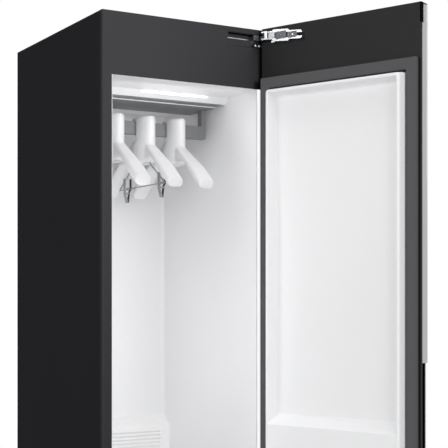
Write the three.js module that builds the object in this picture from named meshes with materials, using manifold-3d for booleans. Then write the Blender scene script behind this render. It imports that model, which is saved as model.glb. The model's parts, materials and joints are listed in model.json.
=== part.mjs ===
// Clothes care steam cabinet: a slim upright cabinet with a steam and drying cavity, hangers on a bar,
// a lower bay with two water tanks, a heat pump behind them, and one door hinged on the right.
// Millimetres, +Z up, the front faces -Y. The origin is the centre of the cabinet's footprint, on the
// floor. Shapes are drawn from the base pan's underside up, and the feet lift them off the floor.
// The door is shown standing open, as it does at rest.
import * as THREE from 'three';
import { mergeVertices } from 'three/addons/utils/BufferGeometryUtils.js';
import Module from 'manifold-3d';

const wasm = await Module();
wasm.setup();

// Clearances
const seat = 0.3;
const overrun = 2;
const roundSteps = 4;

// Cabinet
const body = { width: 445, depth: 555, height: 1835, sheet: 1.2, rearFlange: 18, seam: 0.4 };
const frame = { header: 147, stile: 24.5, sill: 75, depth: 14, wall: 2.5, corner: 3.5 };
const vents = { slotLength: 130, slotHeight: 5, pitch: 14, rows: 9, columnGap: 30, fromFloor: 110 };
const pan = { floor: 1.6, rim: 22, bossRadius: 10, bossHeight: 16 };
const foot = { height: 15, padRadius: 17, padHeight: 9, stemRadius: 5, stemAbovePan: 24, inset: 42, clearance: 0.12, collarRadius: 8 };
const topFlange = 11;

// Cavity; drops are measured down from the top of the opening
const cavity = { wall: 2, rearSpace: 55, ceilingLift: 1.5, ceilingThick: 6, frontEdge: 1.5, rearCorner: 8 };
const brow = { front: 110, rear: 88, land: 2, drop: 15, skin: 2.4 };
const lamp = { leftGap: 137.7, rightGap: 55.7, start: 2, width: 10.5, lensThick: 3.2, bulge: 0.9, boardThick: 1.6, boardMargin: 1.6 };
const ductHole = { sideGap: 75.7, front: 48, rear: 72 };
const foam = { rearGap: 2 };
const deck = { thick: 12, grilleBars: 7, grilleLength: 120, grilleBar: 6, grilleGap: 7, grilleFront: 70, grilleDepth: 4 };

// Louvred return unit at the foot of the rear wall
const louvre = { height: 331, frontHeight: 308, thick: 34, wall: 2.5, pitch: 10, slat: 4.2, firstSlat: 291, slatInset: 28 };

// Air outlet plate, its trim and the hanger bar
const plate = { sideGap: 8.2, front: 86, stepDrop: 18.6, rear: 88, underside: 21.3, wall: 3, rearChamfer: 5, slotInset: 39.5, slotFront: 6, slotWidth: 6 };
const trim = { front: 58, depth: 2.4 };
const bar = { forward: 2, sideGap: 12.2, top: 65, height: 33, depth: 20, leg: 12, innerRadius: 4, outerRadius: 3 };

// Air hangers
const hanger = {
  width: 44, rootWidth: 30, spacing: 87, neckHalf: 49, neckForward: 13, neckWide: 23, top: 54, rearLip: 13, throatDrop: 16, play: 2,
  shoulder: 115, armRoot: 48, armRootTop: 122, armMidTop: 183, armEnd: 191, armEndTop: 218, armTip: 248,
  underside: 174, undersideMidDrop: 211, round: 9, endRound: 4, topBevel: 3, ductHalf: 52, ductDepth: 24, ductSide: 11,
};
const armShares = { middle: 0.728, flat: 0.492 };
const trousers = { rodRadius: 1.6, rodDrop: 231, rodHalf: 133, legFoot: 131, sides: 8 };
const clip = {
  plateHeight: 63, plateWidth: 13, plateThick: 1.8, spread: 7.5, rear: 82, front: 115.5, rise: 27, sleeve: 3.4, sleeveClearance: 0.15,
  pivotDrop: 8, pivotRadius: 2.2, tip: 1.2,
};

// Header machinery
const fanCase = { radius: 74, height: 66, wall: 2.5, behindBar: 14, outletReach: 89, eye: 42 };
const fanWheel = { radius: 64, hub: 16, height: 40, blades: 12, bladeThick: 2.4, plateThick: 3, shaft: 3.2, shaftLength: 14 };
const fanMotor = { radius: 30, height: 34, boreClearance: 0.08, boreDepth: 16 };
const controlBox = { width: 120, depth: 84, height: 44, wall: 2.5, sideGap: 40, rearGap: 10, ribs: 6, ribHeight: 3 };

// Tank bay and tanks
const bay = { rear: 218, shell: 5.5, plugPlay: 2.5, wall: 3, sideWall: 15.7, web: 6, headroom: 9.1, filterHeadroom: 28.7, roof: 18.7 };
const tank = { sideGap: 3.5, depth: 178, height: 300, wall: 2.5, front: 31, corner: 14, lidThick: 7, gripWidth: 90, gripHeight: 26, gripDrop: 52, gripDepth: 14, spoutRadius: 11, spoutHeight: 3 };
const filter = { inset: 32, height: 46, depth: 170, front: 31, rim: 7, bars: 9, meshThick: 2, handleWidth: 80, handleHeight: 16, handleDepth: 8 };

// Heat pump and steam; places are measured in from the pan's right or left wall and from the back
const compressor = { radius: 62, height: 190, dome: 26, sideGap: 102.7, fromRear: 93, feet: 10, footRadius: 74, footPlate: 4, shoulderShare: 0.33 };
const coil = { sideGap: 29.7, bayGap: 1, height: 210, depth: 46, fins: 16, finThick: 2, core: 14, gap: 24, fromRear: 94, base: 60 };
const airDuct = { wall: 3, margin: 7, throat: 120 };
const coolingFan = { radius: 46, hub: 13, thick: 16, blades: 7, bladeThick: 3, shaft: 3, motorRadius: 20, motorLength: 26, postWidth: 26, bladeShare: 0.33 };
const boiler = { width: 150, depth: 60, height: 110, corner: 10, sideGap: 110.7, bayGap: 6, base: 26, port: 9, portHeight: 14, legShare: 0.33 };
const pump = { radius: 22, headRadius: 26, headLength: 18, length: 74, x: 16, bayGap: 6, base: 28, footHeight: 6, standShare: 0.33 };
const hose = { radius: 8, straight: 24, sides: 10, steps: 18 };
const gland = { radius: 13, length: 16, bore: 5, flange: 19, flangeThick: 4, sideGap: 72.5, z: 70 };

// Door, in the closed position, measured from its hinge edge, its inner face and the cabinet's top
const door = { margin: 1, gap: 12.5, thick: 32, glass: 4, glassEdge: 1.3, bottom: 10, openAngle: 111.5, corner: 2.5 };
const pivot = { fromEdge: 10, depth: 5 };
const gasket = { sideLap: 17.5, width: 26.5, proud: 12.2, lap: 23, bevel: 4 };
const plug = { sideGap: 9.5, proud: 33, draft: 4.5, rim: 7.5, floor: 2, recessDraft: 6, topGap: 5, ledge: 785, ledgeRise: 19 };
const edge = { fromInner: 7.6, thick: 3, topDrop: 3, gripLow: 600, gripLength: 424, gripDepth: 13, gripFromInner: 10, gripFrontLip: 4.5, band: 8.4, bandTop: 47, bandStep: 0.8 };

// Hinges; heights from the door's top, mirrored at its bottom, and widths from the cabinet's right side
const hinge = {
  pocketTop: 12, pocketHeight: 34, pocketLeft: 112, pocketRight: 4, pocketDepth: 28, pocketWall: 2, pocketSplit: 43,
  groove: 12.5, grooveDepth: 12, setBack: 0.6, level: 20, lugThick: 9.4, lugRadius: 4.4, lugRoot: 24, lugRootLeft: 22,
  plateThick: 3, screwRadius: 3.4, screwTopRadius: 2.7, screwHead: 2, earThick: 4.4, earRadius: 4.6, pinRadius: 2.4,
  pinClearance: 0.06, pinHead: 1.2, pinHeadRadius: 3.6, neckStart: 17, neckHeight: 20, armStart: 38, armEnd: 127,
  armHeight: 24, armProud: 9.5, armLift: 4, padHeight: 29, padEnd: 90, forkHeight: 21, forkGap: 8, forkDepth: 15, notch: 21,
  notchDepth: 16, holeAt: 62, holeRadius: 3.2, slotAt: 81, slotWidth: 5, slotHeight: 13, channel: 13, channelDepth: 3,
};
const armLeanShare = 0.09;

// Places that several pieces share
const half = body.width / 2;
const frontY = -body.depth / 2;
const rearY = body.depth / 2;
const back = (fromFront) => frontY + fromFront;
const openHalf = half - frame.stile;
const openTop = body.height - frame.header;
const below = (drop) => openTop - drop;
const ceilingZ = below(cavity.ceilingLift);
const linerSide = openHalf - seat;
const cavitySide = linerSide - cavity.wall;
const cavityRear = rearY - cavity.rearSpace;
const barY = (frontY + cavityRear) / 2 - bar.forward;
const shellHalf = half - body.sheet - seat;
const shellFront = frontY + frame.depth + body.seam;
const shellRear = rearY - body.sheet - seat;
const backOuter = shellRear - seat;
const panHalf = shellHalf - seat;
const bayRear = back(bay.rear);
const bayInner = linerSide - bay.sideWall;
const tankLow = frame.sill + bay.wall + 2 * seat;
const tankTop = tankLow + tank.height + tank.lidThick + tank.spoutHeight + bay.headroom;
const filterLow = tankTop + bay.wall;
const filterTop = filterLow + filter.height + bay.filterHeadroom;
const bayTop = filterTop + bay.roof;
const floorZ = bayTop + seat + deck.thick;
const doorWidth = body.width - 2 * door.margin;

// Materials
const finish = (color, roughness, metalness) => new THREE.MeshStandardMaterial({ color, roughness, metalness });
const paint = finish(0x2a2a2c, 0.42, 0.2);
const darkPlastic = finish(0x232325, 0.55, 0);
const whitePlastic = finish(0xe9e9ea, 0.38, 0);
const hangerWhite = finish(0xf0f0f0, 0.4, 0);
const greyPlastic = finish(0x8a8b8d, 0.5, 0.1);
const plateGrey = finish(0x77787a, 0.55, 0.1);
const trimMetal = finish(0xcfd0d1, 0.35, 0.7);
const glassBlack = finish(0xb9babc, 0.12, 0.2);
const rubber = finish(0x58585a, 0.8, 0);
const zinc = finish(0xd6d7d8, 0.28, 0.9);
const steel = finish(0x9a9b9c, 0.35, 0.85);
const galvanised = finish(0xa6a9ab, 0.5, 0.7);
const foamWhite = finish(0xdedad0, 0.95, 0);
const lens = finish(0xffffff, 0.3, 0);
const board = finish(0x2d5b3c, 0.6, 0);
const blackSteel = finish(0x19191b, 0.45, 0.5);
const copper = finish(0xb06f4a, 0.4, 0.85);
const aluminium = finish(0xc4c6c8, 0.4, 0.8);
const tankClear = finish(0xc9d3d8, 0.25, 0);
const tankGrey = finish(0x9aa0a5, 0.4, 0);
const footBlack = finish(0x1c1c1d, 0.7, 0);

// Solids and cuts
function toSolid(geometry) {
  const plain = geometry.clone();
  plain.deleteAttribute('normal');
  plain.deleteAttribute('uv');
  const welded = mergeVertices(plain);
  return new wasm.Manifold(new wasm.Mesh({
    numProp: 3,
    vertProperties: new Float32Array(welded.attributes.position.array),
    triVerts: new Uint32Array(welded.index.array),
  }));
}

function toGeometry(solid) {
  const mesh = solid.getMesh();
  const geometry = new THREE.BufferGeometry();
  geometry.setAttribute('position', new THREE.BufferAttribute(new Float32Array(mesh.vertProperties), 3));
  geometry.setIndex(new THREE.BufferAttribute(new Uint32Array(mesh.triVerts), 1));
  geometry.computeVertexNormals();
  return geometry;
}

function cut(base, ...tools) {
  return toGeometry(tools.reduce((solid, tool) => solid.subtract(toSolid(tool)), toSolid(base)));
}

function join(base, ...others) {
  return toGeometry(others.reduce((solid, other) => solid.add(toSolid(other)), toSolid(base)));
}

function common(base, other) {
  return toGeometry(toSolid(base).intersect(toSolid(other)));
}

function block(x0, x1, y0, y1, z0, z1) {
  const geometry = new THREE.BoxGeometry(x1 - x0, y1 - y0, z1 - z0);
  return geometry.translate((x0 + x1) / 2, (y0 + y1) / 2, (z0 + z1) / 2);
}

function outline(points) {
  return new THREE.Shape(points.map(([u, v]) => new THREE.Vector2(u, v)));
}

function roundedOutline(u0, u1, v0, v1, radius) {
  const shape = new THREE.Shape();
  shape.moveTo(u0 + radius, v0);
  shape.lineTo(u1 - radius, v0);
  shape.absarc(u1 - radius, v0 + radius, radius, -Math.PI / 2, 0);
  shape.lineTo(u1, v1 - radius);
  shape.absarc(u1 - radius, v1 - radius, radius, 0, Math.PI / 2);
  shape.lineTo(u0 + radius, v1);
  shape.absarc(u0 + radius, v1 - radius, radius, Math.PI / 2, Math.PI);
  shape.lineTo(u0, v0 + radius);
  shape.absarc(u0 + radius, v0 + radius, radius, Math.PI, 1.5 * Math.PI);
  return shape;
}

// An outline in the XY plane raised from z0 to z1
function raise(shape, z0, z1, steps = roundSteps) {
  return new THREE.ExtrudeGeometry(shape, { depth: z1 - z0, bevelEnabled: false, curveSegments: steps }).translate(0, 0, z0);
}

// An outline in the XZ plane carried from y0 to y1
function carryBack(shape, y0, y1, steps = roundSteps) {
  const geometry = new THREE.ExtrudeGeometry(shape, { depth: y1 - y0, bevelEnabled: false, curveSegments: steps });
  return geometry.rotateX(Math.PI / 2).translate(0, y1, 0);
}

// An outline in the YZ plane carried from x0 to x1
function carryAcross(shape, x0, x1, bevel = 0) {
  const geometry = new THREE.ExtrudeGeometry(shape, {
    depth: x1 - x0 - 2 * bevel, bevelEnabled: bevel > 0, bevelThickness: bevel, bevelSize: bevel,
    bevelOffset: -bevel, bevelSegments: 2, curveSegments: roundSteps,
  });
  return geometry.rotateX(Math.PI / 2).rotateZ(Math.PI / 2).translate(x0 + bevel, 0, 0);
}

function upright(radius, z0, z1, sides = 24, topRadius = radius) {
  return new THREE.CylinderGeometry(topRadius, radius, z1 - z0, sides).rotateX(Math.PI / 2).translate(0, 0, (z0 + z1) / 2);
}

function rodBetween(start, end, radius, sides) {
  const from = new THREE.Vector3(...start);
  const to = new THREE.Vector3(...end);
  const run = to.clone().sub(from);
  const turn = new THREE.Quaternion().setFromUnitVectors(new THREE.Vector3(0, 1, 0), run.clone().normalize());
  const middle = from.add(to).multiplyScalar(0.5);
  return new THREE.CylinderGeometry(radius, radius, run.length(), sides).applyQuaternion(turn).translate(middle.x, middle.y, middle.z);
}

const cabinet = new THREE.Group();
cabinet.name = 'clothes_care_steam_cabinet';
const carcass = new THREE.Group();
carcass.position.z = foot.height;
cabinet.add(carcass);

function place(name, geometry, material, parent = carcass) {
  const mesh = new THREE.Mesh(geometry, material);
  mesh.name = name;
  parent.add(mesh);
  return mesh;
}

// Front frame: one moulding with a U-shaped section round the opening, and the two hinge windows
const doorTopZ = body.height;
const doorBottomZ = door.bottom;
const windowX0 = half - hinge.pocketLeft;
const windowX1 = half - hinge.pocketRight;
const topWindow = { low: doorTopZ - hinge.pocketTop - hinge.pocketHeight, high: doorTopZ - hinge.pocketTop };
const bottomWindow = { low: doorBottomZ + hinge.pocketTop, high: doorBottomZ + hinge.pocketTop + hinge.pocketHeight };

function frontFrame() {
  const rear = frontY + frame.depth;
  const plan = new THREE.Shape();
  plan.moveTo(-half, rear);
  plan.lineTo(-half, frontY + frame.corner);
  plan.absarc(-half + frame.corner, frontY + frame.corner, frame.corner, Math.PI, 1.5 * Math.PI);
  plan.lineTo(half - frame.corner, frontY);
  plan.absarc(half - frame.corner, frontY + frame.corner, frame.corner, 1.5 * Math.PI, 2 * Math.PI);
  plan.lineTo(half, rear);
  const opening = block(-openHalf, openHalf, frontY - overrun, rear + overrun, frame.sill, openTop);
  const channelY = frontY + frame.wall;
  const channel = block(-half + frame.wall, half - frame.wall, channelY, rear + overrun, frame.wall, body.height - frame.wall);
  const inner = openHalf + frame.wall;
  const lining = block(-inner, inner, channelY - overrun, rear + 2 * overrun, frame.sill - frame.wall, openTop + frame.wall);
  const windows = [topWindow, bottomWindow].map((hole) => (
    block(windowX0, windowX1, frontY - overrun, channelY + overrun, hole.low, hole.high)));
  return cut(raise(plan, 0, body.height), opening, cut(channel, lining), ...windows);
}

// Side panel: folded sheet with a rear flange
function sidePanel(side) {
  const outer = side * half;
  const skin = side * (half - body.sheet);
  const lip = side * (half - body.rearFlange);
  const start = frontY + frame.depth + body.seam;
  const points = [[outer, start], [outer, rearY], [lip, rearY], [lip, rearY - body.sheet], [skin, rearY - body.sheet], [skin, start]];
  return raise(outline(points), 0, body.height);
}

// Top cover: a shallow tray turned down at its edges
function topCover() {
  const outer = block(-shellHalf, shellHalf, shellFront, shellRear, body.height - topFlange, body.height);
  const hollow = block(-shellHalf + body.sheet, shellHalf - body.sheet, shellFront + body.sheet, shellRear - body.sheet,
    body.height - topFlange - overrun, body.height - body.sheet);
  return cut(outer, hollow);
}

const glandX = half - gland.sideGap;

// Back panel with two columns of cooling slots behind the machine space
function backPanel() {
  const y0 = backOuter - body.sheet;
  const sheet = block(-shellHalf, shellHalf, y0, backOuter, seat, body.height - topFlange - seat);
  const slots = [];
  for (const side of [-1, 1]) {
    const near = side * vents.columnGap / 2;
    const far = near + side * vents.slotLength;
    for (let row = 0; row < vents.rows; row += 1) {
      const low = vents.fromFloor + row * vents.pitch;
      slots.push(block(Math.min(near, far), Math.max(near, far), y0 - overrun, backOuter + overrun, low, low + vents.slotHeight));
    }
  }
  const inlet = new THREE.CylinderGeometry(gland.radius + seat, gland.radius + seat, 4 * overrun, 24).translate(glandX, y0, gland.z);
  return cut(sheet, inlet, ...slots);
}

// Base pan: a tray on four screwed feet
const footX = half - foot.inset;
const footY = rearY - foot.inset;
const footPlaces = { front_left: [-footX, -footY], front_right: [footX, -footY], rear_left: [-footX, footY], rear_right: [footX, footY] };
const panFront = shellFront + seat;
const panRear = backOuter - body.sheet - seat;

function basePan() {
  const outer = block(-panHalf, panHalf, panFront, panRear, 0, pan.rim);
  const hollow = block(-panHalf + pan.floor, panHalf - pan.floor, panFront + pan.floor, panRear - pan.floor, pan.floor, pan.rim + overrun);
  const places = Object.values(footPlaces);
  const bosses = places.map(([x, y]) => upright(pan.bossRadius, 0, pan.bossHeight, 16).translate(x, y, 0));
  const bores = places.map(([x, y]) => upright(foot.stemRadius + foot.clearance, -overrun, pan.bossHeight + overrun, 16).translate(x, y, 0));
  return cut(join(cut(outer, hollow), ...bosses), ...bores);
}

function screwFoot() {
  const shoulder = -seat;
  const profile = [[0, -foot.height], [foot.padRadius, -foot.height], [foot.padRadius, -foot.height + foot.padHeight / 2],
    [foot.collarRadius, -foot.height + foot.padHeight], [foot.collarRadius, shoulder], [foot.stemRadius, shoulder], [foot.stemRadius, foot.stemAbovePan], [0, foot.stemAbovePan]];
  return new THREE.LatheGeometry(profile.map(([r, z]) => new THREE.Vector2(r, z)), 16).rotateX(Math.PI / 2);
}

// Cavity liner: a moulded tub, open at the front and closed below by the deck
const linerRear = cavityRear + cavity.wall;
const linerFront = frontY + cavity.frontEdge;
const linerTop = ceilingZ + cavity.ceilingThick;
const linerFrontTop = openTop - seat;
const lampLeft = lamp.leftGap - cavitySide;
const lampRight = cavitySide - lamp.rightGap;
const lampEnd = lamp.start + lamp.width;

// The brow slopes down from the ceiling; places on it are a way along its slope and a depth into it
const browFront = barY - brow.front;
const browRear = barY - brow.rear;
const browLow = ceilingZ - brow.drop;
const browRun = browRear - brow.land - browFront;
const browLength = Math.hypot(browRun, brow.drop);
const browTurn = Math.atan2(brow.drop, browRun);
function onBrow(way, inward) {
  return [browFront + way * Math.cos(browTurn) + inward * Math.sin(browTurn), ceilingZ - way * Math.sin(browTurn) + inward * Math.cos(browTurn)];
}

function tubPlan(side, front, rear, radius) {
  const plan = new THREE.Shape();
  plan.moveTo(-side, front);
  plan.lineTo(side, front);
  plan.lineTo(side, rear - radius);
  plan.absarc(side - radius, rear - radius, radius, 0, Math.PI / 2);
  plan.lineTo(-side + radius, rear);
  plan.absarc(-side + radius, rear - radius, radius, Math.PI / 2, Math.PI);
  return plan;
}

function cavityLiner() {
  const outer = raise(tubPlan(linerSide, linerFront, linerRear, cavity.rearCorner + cavity.wall), floorZ + seat, linerTop);
  const inside = raise(tubPlan(cavitySide, linerFront - overrun, cavityRear, cavity.rearCorner), floorZ - overrun, ceilingZ);
  const frontStep = block(-half, half, linerFront - overrun, frontY + frame.depth + seat, linerFrontTop, linerTop + overrun);
  const airHalf = cavitySide - ductHole.sideGap;
  const airHole = block(-airHalf, airHalf, barY - ductHole.front, barY + ductHole.rear, ceilingZ - overrun, linerTop + overrun);
  const tub = cut(outer, inside, frontStep, airHole);
  const web = cavity.wall / 2;
  const browSection = outline([[browFront, ceilingZ + web], [browFront, ceilingZ], [browRear - brow.land, browLow], [browRear, browLow],
    [browRear, browLow + brow.skin], onBrow(browLength - brow.skin, brow.skin), [browFront + brow.skin / Math.sin(browTurn), ceilingZ + web]]);
  const browSkin = carryAcross(browSection, -cavitySide - web, cavitySide + web);
  const slotDepth = (cavity.ceilingThick + overrun + lampEnd * Math.sin(browTurn)) / Math.cos(browTurn);
  const slotSection = outline([onBrow(lamp.start - seat, -overrun), onBrow(lampEnd + seat, -overrun), onBrow(lampEnd + seat, slotDepth), onBrow(lamp.start - seat, slotDepth)]);
  return cut(join(tub, browSkin), carryAcross(slotSection, lampLeft - seat, lampRight + seat));
}

// Lamp: a lens let into the brow near the top of its slope, with its circuit board behind
function lampLens() {
  const b = lamp.bulge;
  const places = [[lamp.start + b, -b], [lampEnd - b, -b], [lampEnd, 0], [lampEnd, lamp.lensThick - b], [lamp.start, lamp.lensThick - b], [lamp.start, 0]];
  return carryAcross(outline(places.map(([way, inward]) => onBrow(way, inward))), lampLeft, lampRight);
}

function lampBoard() {
  const near = lamp.lensThick - lamp.bulge + seat;
  const m = lamp.boardMargin;
  const places = [[lamp.start + m, near], [lampEnd - m, near], [lampEnd - m, near + lamp.boardThick], [lamp.start + m, near + lamp.boardThick]];
  return carryAcross(outline(places.map(([way, inward]) => onBrow(way, inward))), lampLeft + m, lampRight - m);
}

// Insulation: one foam channel round the sides and the rear of the liner
function insulation() {
  const low = floorZ + seat;
  const outer = block(-shellHalf, shellHalf, shellFront + seat, backOuter - body.sheet - foam.rearGap, low, linerTop);
  const inner = raise(tubPlan(linerSide + seat, shellFront - overrun, linerRear + seat, cavity.rearCorner + cavity.wall), low - overrun, linerTop + overrun);
  return cut(outer, inner);
}

// The shelf and the bay stand back behind the door's plug; thin cheeks reach forward beside it
const shelfFront = frontY + plug.proud - door.gap + bay.plugPlay;
const cheekInner = linerSide - bay.shell;

// Deck: the cavity's floor, with the steam grille near the front
function cavityDeck() {
  const low = floorZ - deck.thick;
  const plugSpace = block(-cheekInner, cheekInner, linerFront - overrun, shelfFront, low - overrun, floorZ + overrun);
  const slab = block(-linerSide, linerSide, linerFront, linerRear, low, floorZ);
  const y0 = back(deck.grilleFront);
  const slots = [];
  for (let i = 0; i < deck.grilleBars; i += 1) {
    const y = y0 + i * (deck.grilleBar + deck.grilleGap);
    slots.push(block(-deck.grilleLength / 2, deck.grilleLength / 2, y, y + deck.grilleGap, low - overrun, floorZ + overrun));
  }
  const span = deck.grilleBars * (deck.grilleBar + deck.grilleGap);
  const dish = block(-deck.grilleLength / 2 - deck.grilleBar, deck.grilleLength / 2 + deck.grilleBar,
    y0 - deck.grilleBar, y0 + span, floorZ - deck.grilleDepth, floorZ + overrun);
  return cut(slab, dish, plugSpace, ...slots);
}

// Return unit: a duct cover with a sloped top and a louvred front
function louvreUnit() {
  const rear = cavityRear - seat;
  const front = cavityRear - louvre.thick;
  const low = floorZ + seat;
  const across = cavitySide - seat;
  const topRear = floorZ + louvre.height;
  const topFront = floorZ + louvre.frontHeight;
  const shell = carryAcross(outline([[front, low], [rear, low], [rear, topRear], [front, topFront]]), -across, across);
  const w = louvre.wall;
  const hollow = carryAcross(outline([[front + w, low - overrun], [rear + overrun, low - overrun], [rear + overrun, topRear - 2 * w], [front + w, topFront - w]]), -across + w, across - w);
  const cuts = [];
  const slatTop = floorZ + louvre.firstSlat;
  const slatHalf = cavitySide - louvre.slatInset;
  const count = Math.floor((slatTop - low - louvre.pitch) / louvre.pitch);
  for (let i = 0; i < count; i += 1) {
    const z = slatTop - i * louvre.pitch;
    cuts.push(block(-slatHalf, slatHalf, front - overrun, front + w + overrun, z - louvre.slat, z));
  }
  const plan = raise(tubPlan(across, front, rear, cavity.rearCorner), low - overrun, topRear + overrun);
  return common(cut(shell, hollow, ...cuts), plan);
}

// Air outlet plate under the ceiling, with its slot along the front chamfer
const plateUnder = below(plate.underside);
const plateHalf = cavitySide - plate.sideGap;
const plateFront = barY - plate.front;
const plateStep = below(plate.stepDrop);
const trimFront = barY - trim.front;
function outletPlate() {
  const top = ceilingZ - seat;
  const y0 = plateFront;
  const y1 = trimFront + trim.depth + seat;
  const y2 = barY + plate.rear;
  const section = outline([[y0, top], [y0, plateStep], [y1, plateStep], [y1, plateUnder], [y2 - plate.rearChamfer, plateUnder], [y2, plateUnder + plate.rearChamfer], [y2, top]]);
  const tray = carryAcross(section, -plateHalf, plateHalf);
  const w = plate.wall;
  const frontPart = block(-plateHalf + w, plateHalf - w, y0 + w, y1 + 2 * w, plateStep + w, top + overrun);
  const rearPart = block(-plateHalf + w, plateHalf - w, y1 + w, y2 - w, plateUnder + w, top + overrun);
  const slotHalf = plateHalf - plate.slotInset;
  const slotStart = y0 + plate.slotFront;
  const slot = block(-slotHalf, slotHalf, slotStart, slotStart + plate.slotWidth, plateStep - overrun, plateStep + w + overrun);
  return cut(tray, frontPart, rearPart, slot);
}

function outletTrim() {
  return block(-plateHalf, plateHalf, trimFront, trimFront + trim.depth, plateUnder, plateStep - seat);
}

// Hanger bar: a flat stirrup under the outlet plate
function hangerBar() {
  const top = plateUnder - seat;
  const barTop = below(bar.top);
  const barLow = barTop - bar.height;
  const { leg, innerRadius: r, outerRadius: q } = bar;
  const h = cavitySide - bar.sideGap;
  const shape = new THREE.Shape();
  shape.moveTo(-h, top);
  shape.lineTo(-h, barLow + q);
  shape.absarc(-h + q, barLow + q, q, Math.PI, 1.5 * Math.PI);
  shape.lineTo(h - q, barLow);
  shape.absarc(h - q, barLow + q, q, 1.5 * Math.PI, 2 * Math.PI);
  shape.lineTo(h, top);
  shape.lineTo(h - leg, top);
  shape.lineTo(h - leg, barTop + r);
  shape.absarc(h - leg - r, barTop + r, r, 0, -Math.PI / 2, true);
  shape.lineTo(-h + leg + r, barTop);
  shape.absarc(-h + leg + r, barTop + r, r, 1.5 * Math.PI, Math.PI, true);
  shape.lineTo(-h + leg, top);
  return carryBack(shape, barY - bar.depth / 2, barY + bar.depth / 2);
}

// One rounded cross-section of an arm, across the cabinet, as a ring of points
function roundedRing(y, wide, low, high, radius) {
  const r = Math.min(radius, (high - low) / 2 - seat, wide - seat);
  const corners = [[wide - r, high - r, 0], [-wide + r, high - r, 1], [-wide + r, low + r, 2], [wide - r, low + r, 3]];
  return corners.flatMap(([x, z, quarter]) => [0, 1, 2].map((step) => {
    const angle = (quarter + step / 2) * (Math.PI / 2);
    return [x + r * Math.cos(angle), y, z + r * Math.sin(angle)];
  }));
}

// A closed skin through a row of rings, capped at both ends
function loft(rings) {
  const size = rings[0].length;
  const points = rings.flat();
  const middle = (ring) => ring.reduce((sum, point) => sum.map((value, i) => value + point[i] / size), [0, 0, 0]);
  points.push(middle(rings[0]), middle(rings[rings.length - 1]));
  const faces = [];
  const last = (rings.length - 1) * size;
  for (let k = 0; k < size; k += 1) {
    const next = (k + 1) % size;
    for (let base = 0; base < last; base += size) {
      faces.push(base + k, base + size + k, base + next, base + next, base + size + k, base + size + next);
    }
    faces.push(points.length - 2, k, next, points.length - 1, last + next, last + k);
  }
  const geometry = new THREE.BufferGeometry();
  geometry.setAttribute('position', new THREE.BufferAttribute(new Float32Array(points.flat()), 3));
  geometry.setIndex(faces);
  return geometry;
}

// Air hanger: an oval neck that hooks over the bar, and two broad sloping arms
function airHanger() {
  const y = barY;
  const n = hanger.neckHalf;
  const slot = bar.depth / 2 + hanger.play;
  const saddle = below(bar.top) + seat;
  const throatLow = below(bar.top + bar.height) - hanger.throatDrop;
  const lipLow = below(bar.top) - hanger.rearLip;
  const h = hanger.width / 2;
  const root = hanger.rootWidth / 2;
  const e = hanger.endRound;
  const arm = [[hanger.armEnd, hanger.armEndTop + 2 * e, hanger.armTip - e, h - e], [hanger.armEnd - e, hanger.armEndTop + e / 2, hanger.armTip, h],
    [hanger.armEnd - 2 * e, hanger.armEndTop, hanger.armTip - e, h], [armShares.middle * hanger.armEnd, hanger.armMidTop, hanger.undersideMidDrop, h],
    [armShares.flat * hanger.armEnd, (hanger.armRootTop + hanger.armMidTop) / 2, hanger.underside, (h + root) / 2], [hanger.armRoot, hanger.armRootTop, hanger.underside, root],
    [n / 2, hanger.shoulder, hanger.underside, root]];
  const stations = [...arm.map(([u, ...rest]) => [-u, ...rest]), ...arm.slice().reverse()];
  const arms = loft(stations.map(([u, top, low, wide]) => roundedRing(y + u, wide, below(low), below(top), hanger.round)));
  const oval = new THREE.Shape();
  oval.absellipse(0, 0, hanger.neckWide, n, 0, 2 * Math.PI);
  const t = hanger.topBevel;
  const neck = new THREE.ExtrudeGeometry(oval, {
    depth: hanger.underside - hanger.top - 2 * t, bevelEnabled: true, bevelThickness: t, bevelSize: t, bevelOffset: -t, bevelSegments: 1, curveSegments: 10,
  }).translate(0, y - hanger.neckForward, below(hanger.underside) + t);
  const throat = block(-hanger.width, hanger.width, y - slot, y + slot, throatLow, saddle);
  const mouth = block(-hanger.width, hanger.width, y - slot, y + 2 * n, throatLow, lipLow);
  const duct = block(-hanger.ductSide, hanger.ductSide, y - hanger.ductHalf, y + hanger.ductHalf,
    below(hanger.underside) - overrun, below(hanger.underside) + hanger.ductDepth);
  return cut(join(arms, neck), throat, mouth, duct);
}

// Trouser hanger: a welded wire frame seated in the centre hanger's duct, with two sliding clips
function trouserRod() {
  const y = barY;
  const z = below(trousers.rodDrop);
  const r = trousers.rodRadius;
  const head = below(hanger.underside) + hanger.ductDepth - seat;
  const inner = hanger.ductHalf - r - seat;
  const rod = rodBetween([0, y - trousers.rodHalf, z], [0, y + trousers.rodHalf, z], r, trousers.sides);
  const pieces = [];
  for (const side of [-1, 1]) {
    const knee = [0, y + side * inner, below(hanger.underside) - r];
    pieces.push(rodBetween([0, y + side * trousers.legFoot, z], knee, r, trousers.sides));
    pieces.push(rodBetween(knee, [0, y + side * inner, head], r, trousers.sides));
    pieces.push(new THREE.SphereGeometry(r, trousers.sides, trousers.sides / 2).translate(...knee));
  }
  pieces.push(rodBetween([0, y - inner, head - r], [0, y + inner, head - r], r, trousers.sides));
  return join(rod, ...pieces);
}

const rodZ = below(trousers.rodDrop);
const clipTop = rodZ + clip.rise;
const clipPivotZ = rodZ - clip.sleeve - clip.pivotDrop;
const clipLow = clipTop - clip.plateHeight;

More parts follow.
